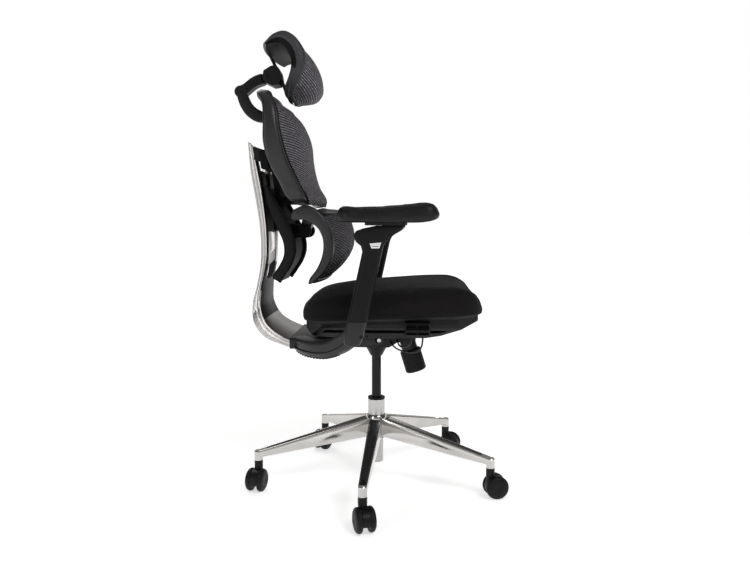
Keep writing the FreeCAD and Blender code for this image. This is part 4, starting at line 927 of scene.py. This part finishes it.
# the stem behind the back, from the eye of the link down to its foot
STEM_REAR = [(406, 1152), (403, 1134), (393, 1106), (376, 1082), (354, 1067), (332, 1063), (312, 1066)]
STEM_FRONT = [(378, 1150), (372, 1134), (362, 1116), (346, 1102), (328, 1093), (314, 1090), (300, 1090)]
stem_neck = side_band("stem_neck", STEM_REAR, STEM_FRONT, -18, 18, 34, 7.0, taper=0.8)
stem_tongue = side_band("stem_tongue", [(407, 1156), (404, 1140), (398, 1120)],
        [(379, 1156), (376, 1140), (371, 1124)],
                        -8, 8, 10, 3.0, taper=0.9)
stem_foot = loft("stem_foot", [[(a, 306.5 + b, z) for a, b in rounded_section(40, 11, 3)]
        for z in (970, 1060, 1092)])
stem_shell = joined("stem_shell", [stem_neck, stem_tongue, stem_foot,
        round_bar("stem_eye", 16, -8, 8, 393, 1150)])
dress(stem_shell, SHELL, body_holding("headrest_stem"), "headrest_stem", slot=slot_of("headrest_stem"),
      smooth=42)


# ---------------------------------------------------------------- back bracket and arm sleeves
# wing stations: x, y, heading in plan, width, low z, high z
WING = [(96, 212, -4, 44, 420, 452), (140, 196, -24, 50, 415, 454), (176, 172, -40, 47, 412, 455),
        (210, 141, -46, 44, 413, 457),
        (238, 112, -48, 42, 418, 464), (264, 84, -51, 40, 430, 480), (286, 60, -55, 39, 446, 500), (300, 45,
                -62, 38, 460, 518),
        (306, 38, -68, 36, 470, 523)]
# profile across the wing, as shares of its half width and half height, troughed on its outer face
WING_PROFILE = [(-0.70, -1.0), (0.55, -1.0), (0.82, -0.90), (0.97, -0.66), (1.0, -0.42), (0.86, -0.30),
                (0.84, 0.30), (0.98, 0.44),
                (0.98, 0.66), (0.84, 0.92), (0.55, 1.0), (-0.70, 1.0), (-0.94, 0.84), (-1.0, 0.55), (-1.0,
                        -0.55), (-0.94, -0.84)]
POST_X = 312
POST_LEAN = math.tan(math.radians(12.3))
SLEEVE = [(523.8, 25, 50, 34, 11), (526.5, 25, 51.5, 35, 12), (560, 25, 50.5, 34, 12),
          (640, 25, 50, 34, 12), (700, 25, 50, 34, 12)]
# flare under the arm pad: z, front y, rear y, width, corner
FLARE = [(714, -33, 24, 34, 12), (724, -38, 36, 34, 11), (734, -47, 41, 34, 11), (744, -62, 41, 34, 10),
         (752, -76, 35, 34, 9), (758, -83, 18, 34, 9), (763, -83, -6, 34, 8), (765, -80, -14, 32, 7)]


def post_middle(z):
    return 34 - (z - 524) * POST_LEAN


def wing_rows(stations=44):
    """Sections of the curved wing between the chrome yoke and the foot of the arm post."""
    rows = []
    for x, y, heading, width, low, high in spline(WING, stations):
        turn = math.radians(heading)
        rows.append([(x - math.sin(turn) * s * width / 2, y + math.cos(turn) * s * width / 2,
                      (low + high) / 2 + t * (high - low) / 2) for s, t in WING_PROFILE])
    return rows


def post_rows(levels):
    return [[(POST_X + a, post_middle(z) + (middle - 25) + b, z) for a,
             b in rounded_section(width, depth, corner, 6)]
            for z, middle, depth, width, corner in levels]


def row_tree():
    """Node tree: copies of a small block spread evenly along a path, turned with it."""
    tree = bpy.data.node_groups.new("row_of_blocks", "GeometryNodeTree")
    face = tree.interface
    for label, kind, value in (("Path", "NodeSocketGeometry", None), ("Count", "NodeSocketInt", 8),
                               ("Block Size", "NodeSocketVector", (0.002, 0.01, 0.01)), ("Seed",
                                       "NodeSocketInt", 3),
                               ("Unevenness", "NodeSocketFloat", 0.05), ("Material", "NodeSocketMaterial",
                                       None)):
        socket = face.new_socket(name=label, in_out="INPUT", socket_type=kind)
        if value is not None:
            socket.default_value = value
    face.new_socket(name="Geometry", in_out="OUTPUT", socket_type="NodeSocketGeometry")
    nodes = {key: tree.nodes.new(kind) for key, kind in (
        ("in", "NodeGroupInput"), ("out", "NodeGroupOutput"), ("curve", "GeometryNodeMeshToCurve"),
        ("even", "GeometryNodeResampleCurve"), ("block", "GeometryNodeMeshCube"), ("copies",
                "GeometryNodeInstanceOnPoints"),
        ("tangent", "GeometryNodeInputTangent"), ("turn", "FunctionNodeAlignRotationToVector"),
        ("chance", "FunctionNodeRandomValue"), ("less", "ShaderNodeMath"), ("real",
                "GeometryNodeRealizeInstances"),
        ("paint", "GeometryNodeSetMaterial"))}
    nodes["turn"].axis = "X"
    nodes["turn"].pivot_axis = "Z"
    nodes["less"].operation = "SUBTRACT"
    nodes["less"].inputs[0].default_value = 1.0
    links = ((("in", "Path"), ("curve", "Mesh")), (("curve", "Curve"), ("even", "Curve")),
             (("in", "Count"), ("even", "Count")),
             (("in", "Block Size"), ("block", "Size")), (("even", "Curve"), ("copies", "Points")),
             (("block", "Mesh"), ("copies", "Instance")), (("tangent", "Tangent"), ("turn", "Vector")),
             (("turn", "Rotation"), ("copies", "Rotation")), (("copies", "Instances"), ("real", "Geometry")),
             (("real", "Geometry"), ("paint", "Geometry")), (("in", "Material"), ("paint", "Material")),
             (("paint", "Geometry"), ("out", "Geometry")))
    for (a, out), (b, into) in links:
        tree.links.new(nodes[a].outputs[out], nodes[b].inputs[into])
    chance = nodes["chance"]
    low = next(i for i in chance.inputs if i.name == "Min" and i.type == "VALUE")
    high = next(i for i in chance.inputs if i.name == "Max" and i.type == "VALUE")
    high.default_value = 1.0
    tree.links.new(nodes["in"].outputs["Unevenness"], nodes["less"].inputs[1])
    tree.links.new(nodes["less"].outputs[0], low)
    tree.links.new(nodes["in"].outputs["Seed"], chance.inputs["Seed"])
    value = next(o for o in chance.outputs if o.type == "VALUE")
    tree.links.new(value, nodes["copies"].inputs["Scale"])
    return tree


ROW = row_tree()


def row_of_blocks(name, path, count, size, material, seed=3, unevenness=0.04):
    """Bakes the node tree over a millimetre path into a plain object."""
    mesh = bpy.data.meshes.new(name + "_path")
    mesh.from_pydata([tuple(c * MM for c in p) for p in path], [(k, k + 1) for k in range(len(path) - 1)], [])
    carrier = placed(name + "_path", mesh)
    modifier = carrier.modifiers.new("row", "NODES")
    modifier.node_group = ROW
    values = {"Count": count, "Block Size": tuple(c * MM for c in size), "Seed": seed,
              "Unevenness": unevenness,
              "Material": material}
    for item in ROW.interface.items_tree:
        if item.in_out == "INPUT" and item.name in values:
            modifier[item.identifier] = values[item.name]
    depsgraph = bpy.context.evaluated_depsgraph_get()
    baked = bpy.data.meshes.new_from_object(carrier.evaluated_get(depsgraph))
    carrier.modifiers.clear()
    bpy.data.objects.remove(carrier)
    return placed(name, baked)


def wing_path(out, level, first, last, stations=24):
    """Path along the wing at a share of its half width, a given height above its lower edge."""
    points = []
    for x, y, heading, width, low, high in spline(WING, 60)[first:last]:
        turn = math.radians(heading)
        points.append((x - math.sin(turn) * out * width / 2, y + math.cos(turn) * out * width / 2, low
                       + level))
    return points


wing = loft("wing", wing_rows())
foot = loft("post_foot", [[(POST_X + a, post_middle(z) + b, z) for a, b in rounded_section(w, d, c, 6)]
                          for z, w, d, c in ((462, 20, 26, 8), (465, 27, 38, 10), (472, 32, 46, 11),
                                             (486, 34, 50, 12), (523, 34, 50, 11), (523.7, 33, 49, 11))])
plate = loft("bracket_plate", box_rows([(236, -140, 140, 421, 451, 5), (200, -137, 137, 420, 451, 6),
        (150, -126, 126, 420, 451, 6),
                                        (92, -98, 98, 420, 450, 6)]))
ear = loft("bracket_ear", box_rows([(110, 78, 98, 420, 450, 4), (60, 78, 98, 420, 450, 4),
        (20, 78, 98, 424, 452, 4),
                                    (-12, 78, 98, 429.5, 452.5, 4)]))
ring = round_bar("bracket_eye", 12.5, 78, 98, -12, 441)
ribs = row_of_blocks("wing_ribs", wing_path(0.45, 1.0, 8, 44), 15, (2.2, 15, 9), BRACKET)
halves = [wing, foot, ear, ring, ribs]
bracket = joined("bracket_shell", [flipped(part, part.name + "_right") for part in halves] + halves + [plate])
dress(bracket, BRACKET, "back", "back_bracket", slot=slot_of("back_bracket"), bevel=0.8, smooth=42)
for side in SIDES:
    screws = [round_bar("screw_cup", 4.2, 328.2, 329.4, y, z, 24) for y, z in ((22, 487), (9, 489))]
    cups = on_side(joined("screws", screws), side, f"post_screws_{side}")
    dress(cups, RIM, "back", slot=slot_of("back_bracket"), smooth=40)
    sleeve = loft("sleeve", post_rows(SLEEVE) + [[(POST_X + a, (y0 + y1) / 2 + b, z) for a,
            b in rounded_section(w, y1 - y0, c, 6)]
                                                 for z, y0, y1, w, c in FLARE])
    sleeve = on_side(sleeve, side, f"fine_arm_sleeve_{side}")
    face = [(-27.5, 724), (1.5, 721.5), (-3.0, 708.5), (-22.5, 708.5)]
    button = loft("button", [[(x, y + (-13 - y) * draw, z + (716 - z) * draw) for y, z in face]
                             for x, draw in ((326.0, 0.0), (330.0, 0.0), (330.7, 0.06))])
    slit = loft("slit", [[(x, y, z) for y, z in ((-21, 714.6), (-4.5, 714.0), (-5.0, 712.6), (-20.5, 713.0))]
                         for x in (329.5, 330.9)])
    button_node = f"arm_button_{side}"
    dress(on_side(button, side, "fine_" + button_node), CHROME, body_holding(button_node), button_node,
          slot=slot_of(button_node), bevel=0.4)
    dress(on_side(slit, side, f"button_slit_{side}"), RIM, body_holding(button_node),
          slot=slot_of(f"arm_sleeve_{side}"))
    dress(sleeve, SLEEVE_SHELL, body_holding(f"arm_sleeve_{side}"), f"arm_sleeve_{side}",
          slot=slot_of(f"arm_sleeve_{side}"), smooth=42)


# ---------------------------------------------------------------- cushion and arm pads
def cloth_fill(obj, pressure, cap, voxel=0.006):
    """Blows the closed form up with cloth pressure, keeping every point within the cap."""
    remesh = obj.modifiers.new("even", "REMESH")
    remesh.mode = "VOXEL"
    remesh.voxel_size = voxel
    remesh.use_smooth_shade = True
    depsgraph = bpy.context.evaluated_depsgraph_get()
    even = bpy.data.meshes.new_from_object(obj.evaluated_get(depsgraph))
    obj.modifiers.clear()
    obj.data = even
    count = len(even.vertices)
    mesh_before = np.empty(count * 3)
    even.vertices.foreach_get("co", mesh_before)
    mesh_before = mesh_before.reshape(-1, 3)
    cloth = obj.modifiers.new("fill", "CLOTH")
    cloth.settings.use_pressure = True
    cloth.settings.uniform_pressure_force = pressure
    cloth.settings.effector_weights.gravity = 0.0
    cloth.settings.quality = 5
    cloth.settings.tension_stiffness = 40
    cloth.settings.compression_stiffness = 40
    cloth.settings.bending_stiffness = 6
    cloth.collision_settings.use_collision = False
    scene = bpy.context.scene
    for step in range(1, 21):
        scene.frame_set(step)
    depsgraph = bpy.context.evaluated_depsgraph_get()
    after = np.empty(count * 3)
    obj.evaluated_get(depsgraph).data.vertices.foreach_get("co", after)
    after = after.reshape(-1, 3)
    obj.modifiers.clear()
    scene.frame_set(1)
    move = after - mesh_before
    length = np.linalg.norm(move, axis=1, keepdims=True)
    print(obj.name, "cloth moved up to", round(float(length.max()) * 1000, 1), "mm, mean",
          round(float(length.mean()) * 1000, 1))
    move *= np.minimum(1.0, cap / np.maximum(length, 1e-9))
    even.vertices.foreach_set("co", (mesh_before + move).reshape(-1))
    return obj


def soft_rings(name, outline, levels):
    """Closed form from rings of an outline; each level gives (share of the way in, height function)."""
    rows = []
    for shrink, height in levels:
        ring = []
        for x, y in outline(shrink):
            ring.append((x, y, height(x, y)))
        rows.append(ring)
    return loft(name, rows)


def rounded_outline(x0, x1, y0, y1, corner, steps=10):
    """Counter-clockwise points of a rounded rectangle, inset by a distance on call."""
    def at(inset):
        r = max(corner - inset * 0.6, 2.0)
        a0, a1, b0, b1 = x0 + inset, x1 - inset, y0 + inset, y1 - inset
        r = min(r, (a1 - a0) / 2 - 0.5, (b1 - b0) / 2 - 0.5)
        points = []
        corners = ((a1 - r, b1 - r, 0), (a0 + r, b1 - r, 90), (a0 + r, b0 + r, 180), (a1 - r, b0 + r, 270))
        for n, (cx, cy, start) in enumerate(corners):
            arc = [(cx + r * math.cos(math.radians(start + 90 * k / steps)), cy + r
                    * math.sin(math.radians(start + 90 * k / steps)))
                   for k in range(steps + 1)]
            points += arc
            nx, ny, nstart = corners[(n + 1) % 4]
            goal = (nx + r * math.cos(math.radians(nstart)), ny + r * math.sin(math.radians(nstart)))
            points += [(arc[-1][0] + (goal[0] - arc[-1][0]) * k / 12, arc[-1][1] + (goal[1] - arc[-1][1])
                        * k / 12)
                       for k in range(1, 12)]
        return points
    return at


SEAT_CREST = [(-300, 546), (-292, 561), (-278, 575), (-258, 587), (-216, 599), (-158, 605), (-70, 603),
              (4, 599), (72, 592), (138, 580), (175, 571), (195, 560)]
SEAT_CREASE = [(-300, 552), (-290, 570), (-274, 585), (-250, 596), (-215, 602), (-125, 597), (-20, 586),
               (53, 578), (120, 571), (158, 565), (195, 555)]


def seat_height(x, y):
    """Top of the seat: crowned in the middle, dropping to the crease line at the sides."""
    share = min(1.0, abs(x) / 235)
    return along(SEAT_CREST, y) + (along(SEAT_CREASE, y) - along(SEAT_CREST, y)) * share ** 2.4


def seat_under(x, y):
    return float(np.interp(y, [-290, 192], [526, 507]))


seat_outline = rounded_outline(-250, 250, -295, 192, 62)
seat_levels = [(200, lambda x, y: seat_under(x, y) - 1), (60, lambda x, y: seat_under(x, y) - 1),
               (8, lambda x, y: seat_under(x, y) - 1),
               (2, lambda x, y: seat_under(x, y) + 2), (0, lambda x, y: seat_under(x, y) + 8),
               (0, lambda x, y: seat_under(x, y) * 0.45 + seat_height(x, y) * 0.55 - 4),
               (3, lambda x, y: seat_height(x, y) - 16), (8, lambda x, y: seat_height(x, y) - 8),
               (17, lambda x, y: seat_height(x, y) - 3), (30, lambda x, y: seat_height(x, y) - 1), (60,
                       seat_height),
               (100, seat_height), (150, seat_height), (200, seat_height), (232, seat_height)]
seat = soft_rings("seat_top", seat_outline, seat_levels)
cloth_fill(seat, 3.0, 0.005, 0.0048)
dress(seat, FABRIC, "seat", "seat_cushion", slot="seat_fabric", smooth=180)

PAD_TOP = [(-175, 795), (-168, 809), (-155, 819), (-140, 822), (-120, 820), (-98, 816), (-73, 813),
           (-50, 810), (-23, 808), (27, 808), (55, 811), (68, 813), (80, 810), (87, 800)]
PAD_UNDER = [(-175, 790), (-166, 780), (-150, 774.5), (-120, 773), (60, 773), (87, 774)]
for side, sign in SIDES.items():
    centre = 302 * sign
    pad_outline = rounded_outline(centre - 46, centre + 46, -173, 85, 34)

    def pad_top(x, y, centre=centre):
        return along(PAD_TOP, y) - 9.0 * (abs(x - centre) / 48) ** 2.5

    def pad_under(x, y):
        return along(PAD_UNDER, y)
    levels = [(44, lambda x, y: pad_under(x, y) + 1), (16, lambda x, y: pad_under(x, y) + 1),
              (6, lambda x, y: pad_under(x, y) + 1),
              (2, lambda x, y: pad_under(x, y) + 4), (1, lambda x, y: pad_under(x, y) * 0.5 + pad_top(x, y)
                      * 0.5),
              (3, lambda x, y: pad_top(x, y) - 7), (8, lambda x, y: pad_top(x, y) - 2), (16, pad_top), (30,
                      pad_top), (44, pad_top)]
    pad = soft_rings(f"pad_{side}", pad_outline, levels)
    cloth_fill(pad, 3.0, 0.002, 0.004)
    dress(pad, SOFT, f"arm_pad_{side}", f"arm_pad_{side}", slot="soft_pad", subdivide=1)


# ---------------------------------------------------------------- control cables
TILT_CABLE = [(-222, -133, 474.6), (-221, -133, 453), (-205, -125, 430), (-175, -106, 420), (-140, -84, 416),
              (-108, -62, 418), (-84, -48, 426), (-67.4, -43, 433.4)]
LIFT_CABLE = [(-208, -104, 474.6), (-206, -104, 458), (-190, -96, 441), (-162, -84, 432), (-128, -72, 428),
              (-96, -66, 431), (-67.4, -62.2, 437.6)]


CABLE_RADIUS = 2.4


def cable(name, route, radius):
    data = bpy.data.curves.new(name, "CURVE")
    data.dimensions = "3D"
    data.bevel_depth = radius * MM
    data.bevel_resolution = 4
    data.resolution_u = 10
    data.use_fill_caps = True
    line = data.splines.new("NURBS")
    line.points.add(len(route) - 1)
    for point, place in zip(line.points, route):
        point.co = tuple(c * MM for c in place) + (1,)
    line.order_u = 3
    line.use_endpoint_u = True
    return placed(name, data)


cables = []
for name, route in (("tilt_cable", TILT_CABLE), ("lift_cable", LIFT_CABLE)):
    curve = cable(name, route, CABLE_RADIUS)
    tube = bpy.data.meshes.new_from_object(curve.evaluated_get(bpy.context.evaluated_depsgraph_get()))
    bpy.data.objects.remove(curve)
    piece = placed(name, tube)
    tube.materials.clear()
    tube.materials.append(JACKET)
    tube.shade_smooth()
    cables.append(piece)
for piece in cables:
    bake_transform(piece)
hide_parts("control_cables")


# ---------------------------------------------------------------- floor
def floor():
    bpy.ops.mesh.primitive_circle_add(vertices=96, radius=40, fill_type="NGON", location=(0, 0, 0))
    disc = bpy.context.object
    disc.name = "floor"
    finish = Finish("floor_paint")
    speck = finish.noise(3.0, 2.0)
    reach = finish.add("ShaderNodeVectorMath", {"operation": "LENGTH"}, {0: finish.place()}, "Value")
    glow = finish.mix(reach.step(0.8, 5.0), grey(0.60), grey(1.0))
    paint = finish.surface(Base_Color=finish.mix(speck, grey(0.90), grey(0.94)), Roughness=0.95,
                           Specular_IOR_Level=0.0, Emission_Color=glow, Emission_Strength=1.0)
    disc.data.materials.append(paint)


floor()
bpy.context.scene.view_settings.view_transform = "Standard"
